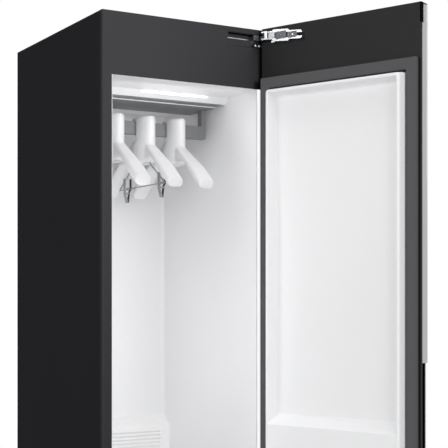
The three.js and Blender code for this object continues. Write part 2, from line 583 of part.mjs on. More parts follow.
function clipBody(y) {
  const w = clip.plateWidth / 2;
  const t = clip.plateThick;
  const sleeve = new THREE.CylinderGeometry(clip.sleeve, clip.sleeve, clip.plateWidth, 12).translate(0, y, rodZ);
  const clear = trousers.rodRadius + clip.sleeveClearance;
  const bore = new THREE.CylinderGeometry(clear, clear, clip.plateWidth + 2 * overrun, 12).translate(0, y, rodZ);
  const leaf = outline([[-clip.spread, clipTop], [-clip.spread - t, clipTop], [-clip.spread - t, clipPivotZ],
    [-clip.tip - t, clipLow], [-clip.tip, clipLow], [-clip.spread, clipPivotZ]]);
  const plateSolid = carryBack(leaf, y - w, y + w);
  const bridge = block(-clip.spread - t / 2, 0, y - w, y + w, rodZ - t, rodZ + t);
  const pin = new THREE.CylinderGeometry(clip.pivotRadius, clip.pivotRadius, clip.plateWidth, 10).translate(0, y, clipPivotZ);
  const ears = [-1, 1].map((side) => {
    const middle = y + side * (w - t / 2);
    return block(-clip.spread - t / 2, clip.pivotRadius / 2, middle - t / 2, middle + t / 2, clipPivotZ - clip.pivotRadius, clipPivotZ + clip.pivotRadius);
  });
  return cut(join(plateSolid, sleeve, bridge, pin, ...ears), bore);
}

function clipJaw(y) {
  const t = clip.plateThick;
  const w = clip.plateWidth / 2 - t - seat;
  const gap = clip.pivotRadius + seat;
  const leaf = outline([[clip.spread + t, clipTop], [clip.spread, clipTop], [clip.spread, rodZ], [gap, clipPivotZ + gap],
    [gap, clipPivotZ - gap], [0, clipLow + 2 * gap], [0, clipLow], [t, clipLow], [gap + t, clipPivotZ - gap], [gap + t, clipPivotZ + gap], [clip.spread + t, rodZ]]);
  return carryBack(leaf, y - w, y + w);
}

// Circulation fan: scroll case, wheel and motor in the header
const fanY = barY + fanCase.behindBar;
const fanBase = linerTop + seat;
const wheelLow = fanBase + fanCase.wall + overrun;
const caseTop = fanBase + fanCase.height;

function fanHousing() {
  const outer = upright(fanCase.radius, fanBase, caseTop, 28);
  const outlet = block(-fanCase.radius, 0, 0, fanCase.outletReach, fanBase, caseTop);
  const inside = upright(fanCase.radius - fanCase.wall, fanBase + fanCase.wall, caseTop - fanCase.wall, 28);
  const outletInside = block(-fanCase.radius + fanCase.wall, -fanCase.wall, 0, fanCase.outletReach + overrun, fanBase + fanCase.wall, caseTop - fanCase.wall);
  const eye = upright(fanCase.eye, fanBase - overrun, fanBase + fanCase.wall + overrun, 24);
  const motorHole = upright(fanMotor.radius + seat, caseTop - fanCase.wall - overrun, caseTop + overrun, 24);
  return cut(join(outer, outlet), inside, outletInside, eye, motorHole).translate(0, fanY, 0);
}

function fanRotor() {
  const plateSolid = upright(fanWheel.radius, wheelLow + fanWheel.height - fanWheel.plateThick, wheelLow + fanWheel.height, 24);
  const hub = upright(fanWheel.hub, wheelLow, wheelLow + fanWheel.height, 16);
  const shaft = upright(fanWheel.shaft, wheelLow + fanWheel.height - overrun, wheelLow + fanWheel.height + fanWheel.shaftLength, 16);
  const blades = [];
  for (let i = 0; i < fanWheel.blades; i += 1) {
    const blade = block(fanWheel.hub - overrun, fanWheel.radius - overrun, -fanWheel.bladeThick / 2, fanWheel.bladeThick / 2, wheelLow, wheelLow + fanWheel.height - fanWheel.plateThick / 2);
    blades.push(blade.rotateZ((i * 2 * Math.PI) / fanWheel.blades));
  }
  return join(plateSolid, hub, shaft, ...blades).translate(0, fanY, 0);
}

function motorBody() {
  const low = wheelLow + fanWheel.height + seat;
  const can = upright(fanMotor.radius, low, low + fanMotor.height, 24);
  const bore = upright(fanWheel.shaft + fanMotor.boreClearance, low - overrun, low + fanMotor.boreDepth, 16);
  return cut(can, bore).translate(0, fanY, 0);
}

// Control box: a ribbed plastic case at the rear left, above the ceiling
function controlCase() {
  const x0 = -half + controlBox.sideGap;
  const y0 = linerRear - controlBox.rearGap - controlBox.depth;
  const low = linerTop + seat;
  const solid = block(x0, x0 + controlBox.width, y0, y0 + controlBox.depth, low, low + controlBox.height);
  const ribs = [];
  for (let i = 0; i < controlBox.ribs; i += 1) {
    const y = y0 + ((i + 0.5) * controlBox.depth) / controlBox.ribs;
    ribs.push(block(x0, x0 + controlBox.width, y - controlBox.wall / 2, y + controlBox.wall / 2, low, low + controlBox.height + controlBox.ribHeight));
  }
  return join(solid, ...ribs);
}

const filterHalf = bayInner - filter.inset;

// Tank bay: a moulded carcass with two tank openings and the filter slot above them
const bayLow = frame.sill + seat;

function tankBay() {
  const solid = block(-linerSide, linerSide, linerFront, bayRear, bayLow, bayTop);
  const inner = bayRear - bay.wall;
  const low = bayLow + bay.wall;
  const mouth = (x0, x1, z0, z1) => block(x0, x1, linerFront - overrun, inner, z0, z1);
  const plugSpace = block(-cheekInner, cheekInner, linerFront - overrun, shelfFront, low, bayTop + overrun);
  const left = mouth(-bayInner, -bay.web / 2, low, tankTop);
  const right = mouth(bay.web / 2, bayInner, low, tankTop);
  const slot = mouth(-filterHalf - bay.web, filterHalf + bay.web, filterLow, filterTop);
  return cut(solid, plugSpace, left, right, slot);
}

const tankFront = back(tank.front);
const tankCentre = (bayInner + bay.web / 2) / 2;
const tankHalf = (bayInner - bay.web / 2) / 2 - tank.sideGap;

function waterTank(side) {
  const x = side * tankCentre;
  const h = tankHalf;
  const high = tankLow + tank.height;
  const outer = raise(roundedOutline(x - h, x + h, tankFront, tankFront + tank.depth, tank.corner), tankLow, high);
  const w = tank.wall;
  const inside = raise(roundedOutline(x - h + w, x + h - w, tankFront + tank.gripDepth + w, tankFront + tank.depth - w, tank.corner - w), tankLow + w, high + overrun);
  const grip = block(x - tank.gripWidth / 2, x + tank.gripWidth / 2, tankFront - overrun, tankFront + tank.gripDepth - w, high - tank.gripDrop - tank.gripHeight, high - tank.gripDrop);
  return cut(outer, inside, grip);
}

function tankLid(side) {
  const x = side * tankCentre;
  const h = tankHalf;
  const low = tankLow + tank.height + seat;
  const cover = raise(roundedOutline(x - h, x + h, tankFront, tankFront + tank.depth, tank.corner), low, low + tank.lidThick);
  const spout = upright(tank.spoutRadius, low, low + tank.lidThick + tank.spoutHeight, 16).translate(x, tankFront + tank.depth / 2, 0);
  return join(cover, spout);
}

// Lint filter: a framed screen in its slot, with a pull handle
function lintFilter() {
  const low = filterLow + seat;
  const y0 = back(filter.front);
  const h = filterHalf;
  const tray = block(-h, h, y0, y0 + filter.depth, low, low + filter.height);
  const inside = block(-h + filter.rim, h - filter.rim, y0 + filter.rim, y0 + filter.depth - filter.rim, low + filter.meshThick, low + filter.height + overrun);
  const pitch = (2 * (h - filter.rim)) / filter.bars;
  const windows = [];
  for (let i = 0; i < filter.bars; i += 1) {
    const x = -h + filter.rim + i * pitch;
    windows.push(block(x + filter.meshThick, x + pitch - filter.meshThick, y0 + 2 * filter.rim, y0 + filter.depth - 2 * filter.rim, low - overrun, low + filter.meshThick + overrun));
  }
  const grip = block(-filter.handleWidth / 2, filter.handleWidth / 2, y0 - filter.handleDepth, y0 + overrun, low + filter.handleHeight, low + 2 * filter.handleHeight);
  return join(cut(tray, inside, ...windows), grip);
}

// Heat pump
const compressorX = compressor.sideGap - panHalf;
const compressorY = rearY - compressor.fromRear;
function compressorCan() {
  const base = pan.floor + seat;
  const { radius: r, dome, height, shoulderShare } = compressor;
  const start = base + compressor.feet;
  const points = [[0, start], [r - dome, start], [r, start + dome], [r, start + height - dome], [r - shoulderShare * dome, start + height - shoulderShare * dome], [r - dome, start + height], [0, start + height]];
  const can = new THREE.LatheGeometry(points.map(([u, v]) => new THREE.Vector2(u, v)), 24).rotateX(Math.PI / 2);
  const foot3 = [0, 1, 2].map((i) => {
    const leg = join(block(0, compressor.footRadius, -compressor.feet, compressor.feet, start - overrun, start + compressor.footPlate),
      upright(compressor.feet, base, start + compressor.footPlate, 12).translate(compressor.footRadius, 0, 0));
    return leg.rotateZ((i * 2 * Math.PI) / 3 + Math.PI / 2);
  });
  return join(can, ...foot3).translate(compressorX, compressorY, 0);
}

const coilWidth = panHalf - coil.sideGap - coil.bayGap;
const coilX = panHalf - coil.sideGap - coilWidth / 2;
const coilY = rearY - coil.fromRear;
function finBlock(front) {
  const x0 = coilX - coilWidth / 2;
  const pitch = coilWidth / coil.fins;
  const core = block(x0, x0 + coilWidth, front + (coil.depth - coil.core) / 2, front + (coil.depth + coil.core) / 2, coil.base, coil.base + coil.height);
  const fins = [];
  for (let i = 0; i < coil.fins; i += 1) {
    const x = x0 + (i + 0.5) * pitch;
    fins.push(block(x - coil.finThick / 2, x + coil.finThick / 2, front, front + coil.depth, coil.base, coil.base + coil.height));
  }
  return join(core, ...fins);
}

const coilFront = coilY - coil.depth - coil.gap / 2;
const evaporatorY = coilY + coil.gap / 2;

// Air duct: a sleeve round both coils that leads up to the return unit
function coilDuct() {
  const m = airDuct.margin;
  const w = airDuct.wall;
  const x0 = coilX - coilWidth / 2 - seat;
  const x1 = coilX + coilWidth / 2 + seat;
  const y0 = coilFront - m;
  const y1 = evaporatorY + coil.depth + m;
  const low = coil.base - seat;
  const high = coil.base + coil.height + m;
  const legHeight = low - w - pan.floor - seat;
  const outer = block(x0 - w, x1 + w, y0 - w, y1 + w, low - w, high + w);
  const hollow = block(x0, x1, y0, y1, low, high);
  const chimney = block(x0, x0 + airDuct.throat, y1 - airDuct.throat / 2, y1, high - overrun, bayTop - seat);
  const chimneyHole = block(x0 + w, x0 + airDuct.throat - w, y1 - airDuct.throat / 2 + w, y1 - w, high - 2 * overrun, bayTop + overrun);
  const fanHole = new THREE.CylinderGeometry(coolingFan.radius + w, coolingFan.radius + w, 4 * w, 24).translate(coilX, y0 - w, coil.base + coil.height / 2);
  const legs = [x0, x1 - w].flatMap((x) => [y0, y1 - w].map((y) => block(x, x + w, y, y + w, low - w - legHeight, low)));
  return cut(join(outer, chimney, ...legs), hollow, chimneyHole, fanHole);
}

const coolingY = coilFront - airDuct.margin - airDuct.wall;
const coolingZ = coil.base + coil.height / 2;

function coolingWheel() {
  const hub = new THREE.CylinderGeometry(coolingFan.hub, coolingFan.hub, coolingFan.thick, 16);
  const shaft = new THREE.CylinderGeometry(coolingFan.shaft, coolingFan.shaft, coolingFan.thick, 16).translate(0, -coolingFan.thick, 0);
  const blades = [];
  for (let i = 0; i < coolingFan.blades; i += 1) {
    const blade = block(coolingFan.hub - overrun, coolingFan.radius, -coolingFan.bladeShare * coolingFan.thick, coolingFan.bladeShare * coolingFan.thick, -coolingFan.bladeThick, coolingFan.bladeThick);
    blades.push(blade.rotateX(Math.PI / 5).rotateY((i * 2 * Math.PI) / coolingFan.blades));
  }
  return join(hub, shaft, ...blades).translate(coilX, coolingY, coolingZ);
}

function coolingMotor() {
  const rear = coolingY - coolingFan.thick / 2 - seat;
  const can = new THREE.CylinderGeometry(coolingFan.motorRadius, coolingFan.motorRadius, coolingFan.motorLength, 20).translate(coilX, rear - coolingFan.motorLength / 2, coolingZ);
  const boreRadius = coolingFan.shaft + fanMotor.boreClearance;
  const bore = new THREE.CylinderGeometry(boreRadius, boreRadius, 2 * coolingFan.thick + overrun, 16).translate(coilX, rear, coolingZ);
  const post = block(coilX - coolingFan.postWidth / 2, coilX + coolingFan.postWidth / 2, rear - coolingFan.motorLength, rear - coolingFan.motorLength / 2, pan.floor + seat, coolingZ);
  return cut(join(can, post), bore);
}

const boilerX = boiler.sideGap - panHalf;
const boilerY = bayRear + boiler.bayGap + boiler.depth / 2;
function steamBoiler() {
  const { width: w, depth: d, base, height, legShare } = boiler;
  const x = boilerX;
  const y = boilerY;
  const shell = raise(roundedOutline(x - w / 2, x + w / 2, y - d / 2, y + d / 2, boiler.corner), base, base + height);
  const port = upright(boiler.port, base + height - overrun, base + height + boiler.portHeight, 14).translate(x - w / 2 + 2 * boiler.port, y, 0);
  const legs = [-1, 1].map((side) => block(x + side * legShare * w - boiler.corner, x + side * legShare * w + boiler.corner, y - legShare * d, y + legShare * d, pan.floor + seat, base + overrun));
  return join(shell, port, ...legs);
}

const boilerPort = [boilerX - boiler.width / 2 + 2 * boiler.port, boilerY, boiler.base + boiler.height + boiler.portHeight];

// Steam hose: from the boiler's port up to the grille in the deck
function steamHose() {
  const [x, y, z] = boilerPort;
  const top = floorZ - deck.thick - seat;
  const grilleY = bayRear + 2 * hose.radius;
  const path = new THREE.CatmullRomCurve3([
    new THREE.Vector3(x, y, z + seat), new THREE.Vector3(x, y, z + hose.straight), new THREE.Vector3(x, (y + grilleY) / 2, (z + top) / 2),
    new THREE.Vector3(x, grilleY, top - hose.straight), new THREE.Vector3(x, grilleY, top),
  ]);
  const ring = (radius) => {
    const shape = new THREE.Shape();
    for (let i = 0; i < hose.sides; i += 1) {
      const a = (i * 2 * Math.PI) / hose.sides;
      if (i === 0) shape.moveTo(radius, 0);
      else shape.lineTo(radius * Math.cos(a), radius * Math.sin(a));
    }
    shape.closePath();
    return shape;
  };
  return new THREE.ExtrudeGeometry(ring(hose.radius), { steps: hose.steps, extrudePath: path, bevelEnabled: false });
}

function drainPump() {
  const { radius: r, headRadius, headLength, length, x, base, footHeight } = pump;
  const y = bayRear + pump.bayGap + headRadius;
  const z = base + r;
  const can = new THREE.CylinderGeometry(r, r, length, 18).rotateZ(Math.PI / 2).translate(x, y, z);
  const head = new THREE.CylinderGeometry(headRadius, headRadius, headLength, 18).rotateZ(Math.PI / 2).translate(x + length / 2, y, z);
  const stand = block(x - pump.standShare * length, x + pump.standShare * length, y - r / 2, y + r / 2, pan.floor + seat, z);
  const plateSolid = block(x - length / 2, x + length / 2, y - r, y + r, pan.floor + seat, pan.floor + seat + footHeight);
  return join(can, head, stand, plateSolid);
}

function mainsGland() {
  const inside = backOuter - body.sheet - gland.length;
  const bodySolid = new THREE.CylinderGeometry(gland.radius, gland.radius, gland.length + body.sheet, 20).translate(glandX, inside + (gland.length + body.sheet) / 2, gland.z);
  const nut = new THREE.CylinderGeometry(gland.flange, gland.flange, gland.flangeThick, 6).translate(glandX, backOuter - body.sheet - seat - gland.flangeThick / 2, gland.z);
  const bore = new THREE.CylinderGeometry(gland.bore, gland.bore, 2 * gland.length, 14).translate(glandX, inside + gland.length / 2, gland.z);
  return cut(join(bodySolid, nut), bore);
}

// Hinges: a moulded pocket and a bracket with a forward lug on the cabinet, an arm with two ears on the door
const pivotX = half - door.margin - pivot.fromEdge;
const pivotY = frontY - door.gap - pivot.depth;

function hingePocket(hole, levelFromEdge) {
  const y0 = frontY + hinge.setBack;
  const y1 = frontY + hinge.pocketDepth;
  const solid = block(windowX0 + seat, windowX1 - seat, y0, y1, hole.low + seat, hole.high - seat);
  const split = half - hinge.pocketSplit;
  const w = hinge.pocketWall;
  const upperEdge = levelFromEdge > 0 ? hole.high - w : hole.low + w + hinge.groove;
  const groove = block(windowX0 + 2 * w, split + overrun, y0 - overrun, y0 + hinge.grooveDepth, upperEdge - hinge.groove, upperEdge);
  const deep = block(split, windowX1 - w, y0 - overrun, y1 - w, hole.low + w, hole.high - w);
  return cut(solid, groove, deep);
}

function hingeBracket(hole, level) {
  const w = hinge.pocketWall;
  const y1 = frontY + hinge.pocketDepth - w - seat;
  const y0 = y1 - hinge.plateThick;
  const x0 = half - hinge.pocketSplit + seat;
  const x1 = windowX1 - w - seat;
  const plateSolid = block(x0, x1, y0, y1, hole.low + w + seat, hole.high - w - seat);
  const lug = new THREE.Shape();
  lug.moveTo(half - hinge.lugRootLeft, y0 + overrun / 2);
  lug.lineTo(pivotX - hinge.lugRadius, pivotY + hinge.lugRoot);
  lug.lineTo(pivotX - hinge.lugRadius, pivotY);
  lug.absarc(pivotX, pivotY, hinge.lugRadius, Math.PI, 2 * Math.PI);
  lug.lineTo(pivotX + hinge.lugRadius, y0 + overrun / 2);
  const lugSolid = raise(lug, level - hinge.lugThick / 2, level + hinge.lugThick / 2);
  const low = level > body.height / 2 ? hole.low + w + hinge.screwRadius + 2 * seat : hole.high - w - hinge.screwRadius - 2 * seat;
  const heads = [x0 + 2 * hinge.screwRadius, (x0 + x1) / 2, x1 - 2 * hinge.screwRadius].map((x) => (
    new THREE.CylinderGeometry(hinge.screwTopRadius, hinge.screwRadius, hinge.screwHead, 10).rotateX(Math.PI).translate(x, y0 - hinge.screwHead / 2 + seat, low)));
  return join(plateSolid, lugSolid, ...heads, hingePin(level));
}

function hingePin(level) {
  const top = level + hinge.lugThick / 2 + seat + hinge.earThick;
  const low = level - hinge.lugThick / 2 - seat - hinge.earThick;
  const shank = upright(hinge.pinRadius, low, top + seat, 16);
  const head = upright(hinge.pinHeadRadius, top + seat, top + seat + hinge.pinHead, 16);
  return join(shank, head).translate(pivotX, pivotY, 0);
}

// Door pieces, in closed position
const innerY = frontY - door.gap;
const hingeEdge = half - door.margin;
const fromHinge = (s) => hingeEdge - s;
const proud = (p) => innerY + p;
const outerY = innerY - door.thick;
const freeEdge = fromHinge(doorWidth);

function hingeArm(level) {
  const ear = (low, high) => {
    const shape = new THREE.Shape();
    shape.moveTo(fromHinge(hinge.armStart), proud(seat));
    shape.lineTo(fromHinge(hinge.neckStart), proud(seat));
    shape.lineTo(pivotX - hinge.earRadius, proud(-pivot.depth));
    shape.absarc(pivotX, pivotY, hinge.earRadius, Math.PI, 2 * Math.PI);
    shape.lineTo(pivotX + hinge.earRadius, proud(hinge.armLift));
    shape.lineTo(fromHinge(hinge.neckStart), proud(hinge.armProud));
    shape.lineTo(fromHinge(hinge.armStart), proud(hinge.armProud));
    return raise(shape, low, high);
  };
  const inner = hinge.lugThick / 2 + seat;
  const outer = inner + hinge.earThick;
  const ears = [ear(level + inner, level + outer), ear(level - outer, level - inner)];
  const lean = level > body.height / 2 ? -armLeanShare : armLeanShare;
  const at = (way, up) => [fromHinge(way), level + lean * (way - hinge.neckStart) + up];
  const strip = (way0, up0, way1, up1, depth0, depth1) => carryBack(outline([at(way1, -up1), at(way0, -up0), at(way0, up0), at(way1, up1)]), proud(depth0), proud(depth1));
  const r = hinge.neckHeight / 2;
  const h = hinge.padHeight / 2;
  const f = hinge.forkHeight / 2;
  const t = hinge.armLift;
  const neck = strip(hinge.neckStart, r, hinge.armStart + overrun, r, seat, hinge.armProud);
  const side = [[hinge.armStart, r], [hinge.armStart + t, h], [hinge.padEnd - t, h], [hinge.padEnd, f], [hinge.armEnd - t, f], [hinge.armEnd, f - t]];
  const rim = [...side.map(([way, up]) => at(way, -up)), ...side.slice().reverse().map(([way, up]) => at(way, up))];
  const arm = carryBack(outline(rim.reverse()), proud(seat), proud(hinge.armProud));
  const g = hinge.forkGap / 2;
  const fork = strip(hinge.armEnd - hinge.forkDepth, g, hinge.armEnd + overrun, g, -overrun, hinge.armProud + overrun);
  const hole = new THREE.CylinderGeometry(hinge.holeRadius, hinge.holeRadius, 4 * hinge.armProud, 12).translate(fromHinge(hinge.holeAt), proud(0), at(hinge.holeAt, 0)[1]);
  const c = hinge.slotHeight / 2;
  const slot = strip(hinge.slotAt, c, hinge.slotAt + hinge.slotWidth, c, -overrun, hinge.armProud + overrun);
  const q = hinge.channel / 2;
  const channel = strip(hinge.neckStart - overrun, q, hinge.holeAt - 2 * hinge.holeRadius, q, hinge.armProud - hinge.channelDepth, hinge.armProud + overrun);
  const pinHole = upright(hinge.pinRadius + hinge.pinClearance, level - 2 * outer, level + 2 * outer, 16).translate(pivotX, pivotY, 0);
  return cut(join(arm, neck, ...ears), fork, hole, slot, channel, pinHole);
}

const topLevel = doorTopZ - hinge.level;
const bottomLevel = doorBottomZ + hinge.level;

// Door core: the moulded frame and foam behind the glass, notched at the hinges and scooped at the grip
const gripLow = edge.gripLow;
const gripHigh = gripLow + edge.gripLength;
function doorFrame() {
  const x0 = freeEdge + edge.thick + seat;
  const rear = outerY + door.glass + seat;
  const slab = raise(roundedOutline(x0, hingeEdge, rear, innerY, door.corner), doorBottomZ, doorTopZ);
  const rail = block(freeEdge, x0 + door.corner + overrun, innerY - edge.fromInner + seat, innerY, doorBottomZ, doorTopZ);
  const cap = block(freeEdge, x0 + door.corner + overrun, rear, innerY, doorTopZ - edge.topDrop + seat, doorTopZ);
  const shoe = block(freeEdge, x0 + door.corner + overrun, rear, innerY, doorBottomZ, doorBottomZ + edge.topDrop - seat);
  const notch = (level) => block(fromHinge(hinge.notch), hingeEdge + overrun, innerY - hinge.notchDepth, innerY + overrun, level - hinge.armHeight / 2 - overrun, level + hinge.armHeight / 2 + overrun);
  const scoop = block(freeEdge - overrun, freeEdge + edge.gripDepth, outerY - overrun, innerY - edge.gripFromInner, gripLow, gripHigh);
  return cut(join(slab, rail, cap, shoe), notch(topLevel), notch(bottomLevel), scoop);
}

function doorGlass() {
  const pane = raise(roundedOutline(freeEdge, hingeEdge, outerY, outerY + door.glass, door.glassEdge), doorBottomZ, doorTopZ, 2);
  const grip = block(freeEdge - overrun, freeEdge + edge.gripFrontLip, outerY - overrun, outerY + door.glass + overrun, gripLow, gripHigh);
  return cut(pane, grip);
}

function edgeTrim(low, high, withBand) {
  const rear = outerY + door.glass + seat;
  const strip = block(freeEdge, freeEdge + edge.thick, rear, innerY - edge.fromInner, low, high);
  if (!withBand) return strip;
  const relief = block(freeEdge - overrun, freeEdge + edge.bandStep, innerY - edge.fromInner - edge.band, innerY - edge.fromInner + overrun, doorTopZ - edge.bandTop, high + overrun);
  return cut(strip, relief);
}

function frustum(rect0, y0, rect1, y1) {
  const [a, b, c, d] = rect0;
  const [e, f, g, h] = rect1;
  const vertices = [a, y0, c, b, y0, c, b, y0, d, a, y0, d, e, y1, g, f, y1, g, f, y1, h, e, y1, h];
  const faces = [0, 1, 2, 0, 2, 3, 4, 6, 5, 4, 7, 6, 0, 5, 1, 0, 4, 5, 1, 6, 2, 1, 5, 6, 2, 7, 3, 2, 6, 7, 3, 4, 0, 3, 7, 4];
  const geometry = new THREE.BufferGeometry();
  geometry.setAttribute('position', new THREE.BufferAttribute(new Float32Array(vertices), 3));
  geometry.setIndex(faces);
  return geometry;
}

// Door liner: a moulded plug with a deep recess above and a sloping ledge at the recess's foot
const plugTopZ = openTop - plug.topGap;
const plugLowZ = frame.sill + plug.topGap;
function doorLiner() {
  const d = plug.draft;
  const side = openHalf - plug.sideGap;
  const base = [-side, side, plugLowZ, plugTopZ];
  const crown = [base[0] + d, base[1] - d, plugLowZ + d, plugTopZ - d];
  const solid = frustum(base, proud(seat), crown, proud(plug.proud));
  const r = plug.rim;
  const q = plug.recessDraft;
  const rise = q / (plug.proud - plug.floor);
  const over = rise * overrun;
  const ledgeZ = plugLowZ + plug.ledge;
  const mouth = [crown[0] + r, crown[1] - r, ledgeZ, crown[3] - r];
  const ledgeOver = (plug.ledgeRise / (plug.proud - plug.floor)) * overrun;
  const wide = [mouth[0] - over, mouth[1] + over, mouth[2] - ledgeOver, mouth[3] + over];
  const bottom = [mouth[0] + q, mouth[1] - q, mouth[2] + plug.ledgeRise, mouth[3] - q];
  return cut(solid, frustum(bottom, proud(plug.floor), wide, proud(plug.proud + overrun)));
}

// Door gasket: a bulb seal in one closed ring
function doorGasket() {
  const low = frame.sill - gasket.lap;
  const high = openTop + gasket.lap;
  const x1 = openHalf + gasket.sideLap;
  const x0 = -x1;
  const w = gasket.width;
  const ring = roundedOutline(x0, x1, low, high, gasket.bevel * 2);
  const hole = roundedOutline(x0 + w, x1 - w, low + w, high - w, gasket.bevel);
  ring.holes.push(new THREE.Path(hole.getPoints(2).reverse()));
  const b = gasket.bevel;
  const geometry = new THREE.ExtrudeGeometry(ring, { depth: gasket.proud - seat - 2 * b, bevelEnabled: true, bevelThickness: b, bevelSize: b, bevelOffset: -b, bevelSegments: 2, curveSegments: 2 });
  return geometry.rotateX(Math.PI / 2).translate(0, proud(gasket.proud - b), 0);
}

// The cabinet's fixed pieces
place('front_frame', frontFrame(), paint);
place('side_panel_left', sidePanel(-1), paint);
place('side_panel_right', sidePanel(1), paint);
place('top_cover', topCover(), paint);
place('back_panel', backPanel(), galvanised);
place('base_pan', basePan(), galvanised);
place('insulation', insulation(), foamWhite);
place('cavity_liner', cavityLiner(), whitePlastic);
place('cavity_deck', cavityDeck(), whitePlastic);
place('louvre_unit', louvreUnit(), whitePlastic);
place('outlet_plate', outletPlate(), plateGrey);
place('outlet_trim', outletTrim(), trimMetal);
place('lamp_lens', lampLens(), lens);
place('lamp_board', lampBoard(), board);
place('hanger_bar', hangerBar(), greyPlastic);
place('fan_housing', fanHousing(), darkPlastic);
place('fan_motor', motorBody(), steel);
place('control_box', controlCase(), darkPlastic);
place('tank_bay', tankBay(), whitePlastic);
place('compressor', compressorCan(), blackSteel);
place('condenser', finBlock(coilFront), copper);
place('evaporator', finBlock(evaporatorY), aluminium);
place('coil_duct', coilDuct(), darkPlastic);
place('cooling_motor', coolingMotor(), steel);
place('steam_boiler', steamBoiler(), steel);
place('steam_hose', steamHose(), rubber);
place('drain_pump', drainPump(), darkPlastic);
place('mains_gland', mainsGland(), darkPlastic);
place('hinge_pocket_top', hingePocket(topWindow, 1), darkPlastic);
place('hinge_pocket_bottom', hingePocket(bottomWindow, -1), darkPlastic);
place('hinge_bracket_top', hingeBracket(topWindow, topLevel), steel);
place('hinge_bracket_bottom', hingeBracket(bottomWindow, bottomLevel), steel);

// The cabinet's moving pieces
place('circulation_fan', fanRotor(), darkPlastic);
place('cooling_fan', coolingWheel(), darkPlastic);
for (const [name, [x, y]] of Object.entries(footPlaces)) {
  place(`foot_${name}`, screwFoot(), footBlack).position.set(x, y, 0);
}
for (const [name, side] of Object.entries({ supply: -1, drain: 1 })) {
  place(`${name}_tank`, waterTank(side), tankClear);
  place(`${name}_tank_lid`, tankLid(side), tankGrey);
}
place('lint_filter', lintFilter(), tankGrey);
for (const [name, step] of Object.entries({ left: -1, centre: 0, right: 1 })) {
  place(`hanger_${name}`, airHanger(), hangerWhite).position.set(step * hanger.spacing, 0, 0);
}
place('trouser_rod', trouserRod(), steel);
const clipPlaces = { front: barY - clip.front, rear: barY + clip.rear };
for (const [name, y] of Object.entries(clipPlaces)) {
  place(`clip_${name}`, clipBody(y), steel);
  place(`clip_jaw_${name}`, clipJaw(y), blackSteel);
}

// The door, turned open about its hinge pins
const doorGroup = new THREE.Group();
doorGroup.position.set(pivotX, pivotY, 0);
doorGroup.rotation.z = THREE.MathUtils.degToRad(door.openAngle);
carcass.add(doorGroup);
function placeOnDoor(name, geometry, material) {
  place(name, geometry.translate(-pivotX, -pivotY, 0), material, doorGroup);
}
placeOnDoor('door_frame', doorFrame(), darkPlastic);
placeOnDoor('door_glass', doorGlass(), glassBlack);
placeOnDoor('door_liner', doorLiner(), whitePlastic);
placeOnDoor('door_gasket', doorGasket(), rubber);
placeOnDoor('edge_trim_upper', edgeTrim(gripHigh + seat, doorTopZ - edge.topDrop, true), trimMetal);
placeOnDoor('edge_trim_lower', edgeTrim(doorBottomZ + edge.topDrop, gripLow - seat, false), trimMetal);
placeOnDoor('hinge_arm_top', hingeArm(topLevel), zinc);
placeOnDoor('hinge_arm_bottom', hingeArm(bottomLevel), zinc);

export default cabinet;
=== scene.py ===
import json
import math

import bpy
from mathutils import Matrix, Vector


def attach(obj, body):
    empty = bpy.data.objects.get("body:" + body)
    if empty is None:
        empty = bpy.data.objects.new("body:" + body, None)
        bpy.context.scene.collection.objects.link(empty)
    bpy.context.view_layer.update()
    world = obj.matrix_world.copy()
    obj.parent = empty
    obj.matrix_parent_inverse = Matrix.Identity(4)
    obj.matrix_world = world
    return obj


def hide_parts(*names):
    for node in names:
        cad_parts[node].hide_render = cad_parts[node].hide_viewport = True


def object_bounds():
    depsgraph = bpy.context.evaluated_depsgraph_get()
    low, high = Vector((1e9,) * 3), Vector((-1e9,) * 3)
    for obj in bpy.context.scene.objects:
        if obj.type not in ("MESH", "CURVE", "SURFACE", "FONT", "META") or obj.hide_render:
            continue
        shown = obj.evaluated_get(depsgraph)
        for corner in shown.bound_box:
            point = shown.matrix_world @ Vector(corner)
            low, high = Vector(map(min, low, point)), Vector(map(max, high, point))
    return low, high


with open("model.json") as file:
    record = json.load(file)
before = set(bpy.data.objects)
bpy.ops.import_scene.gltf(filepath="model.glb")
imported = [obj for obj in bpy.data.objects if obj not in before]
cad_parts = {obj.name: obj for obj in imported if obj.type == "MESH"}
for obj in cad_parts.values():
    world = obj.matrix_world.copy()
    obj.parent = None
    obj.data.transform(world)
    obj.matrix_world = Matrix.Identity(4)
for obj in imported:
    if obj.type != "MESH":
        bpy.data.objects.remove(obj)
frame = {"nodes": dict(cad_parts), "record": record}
nodes = frame["nodes"]
cadLow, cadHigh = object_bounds()
print("frame loaded:", len(nodes), "nodes")

# Camera, where the photographer stood
view = {
    "place": (-1.3229, -2.7155, 1.1897),
    "turn": 30.3,       # degrees to the right of straight ahead
    "sensor": 36.0,     # millimetres, and so is the lens
    "lens": 93.07,
    "rise": 0.1612,     # vertical shift that keeps the sides upright
    "near": 0.05,
    "far": 60.0,
}
cameraData = bpy.data.cameras.new("camera")
cameraData.sensor_width = view["sensor"]
cameraData.lens = view["lens"]
cameraData.shift_y = view["rise"]
cameraData.clip_start = view["near"]
cameraData.clip_end = view["far"]
camera = bpy.data.objects.new("camera", cameraData)
camera.location = view["place"]
camera.rotation_euler = (math.radians(90), 0, math.radians(-view["turn"]))
bpy.context.scene.collection.objects.link(camera)
bpy.context.scene.camera = camera
bpy.context.scene.view_settings.view_transform = "Standard"


# Small helpers for node trees. A socket goes by its name, or by its number where names repeat
def setInputs(node, values):
    for socket, value in values.items():
        node.inputs[socket].default_value = value


def addNode(tree, kind, place, inputs=None, **settings):
    node = tree.nodes.new(kind)
    node.location = place
    for name, value in settings.items():
        setattr(node, name, value)
    setInputs(node, inputs or {})
    return node


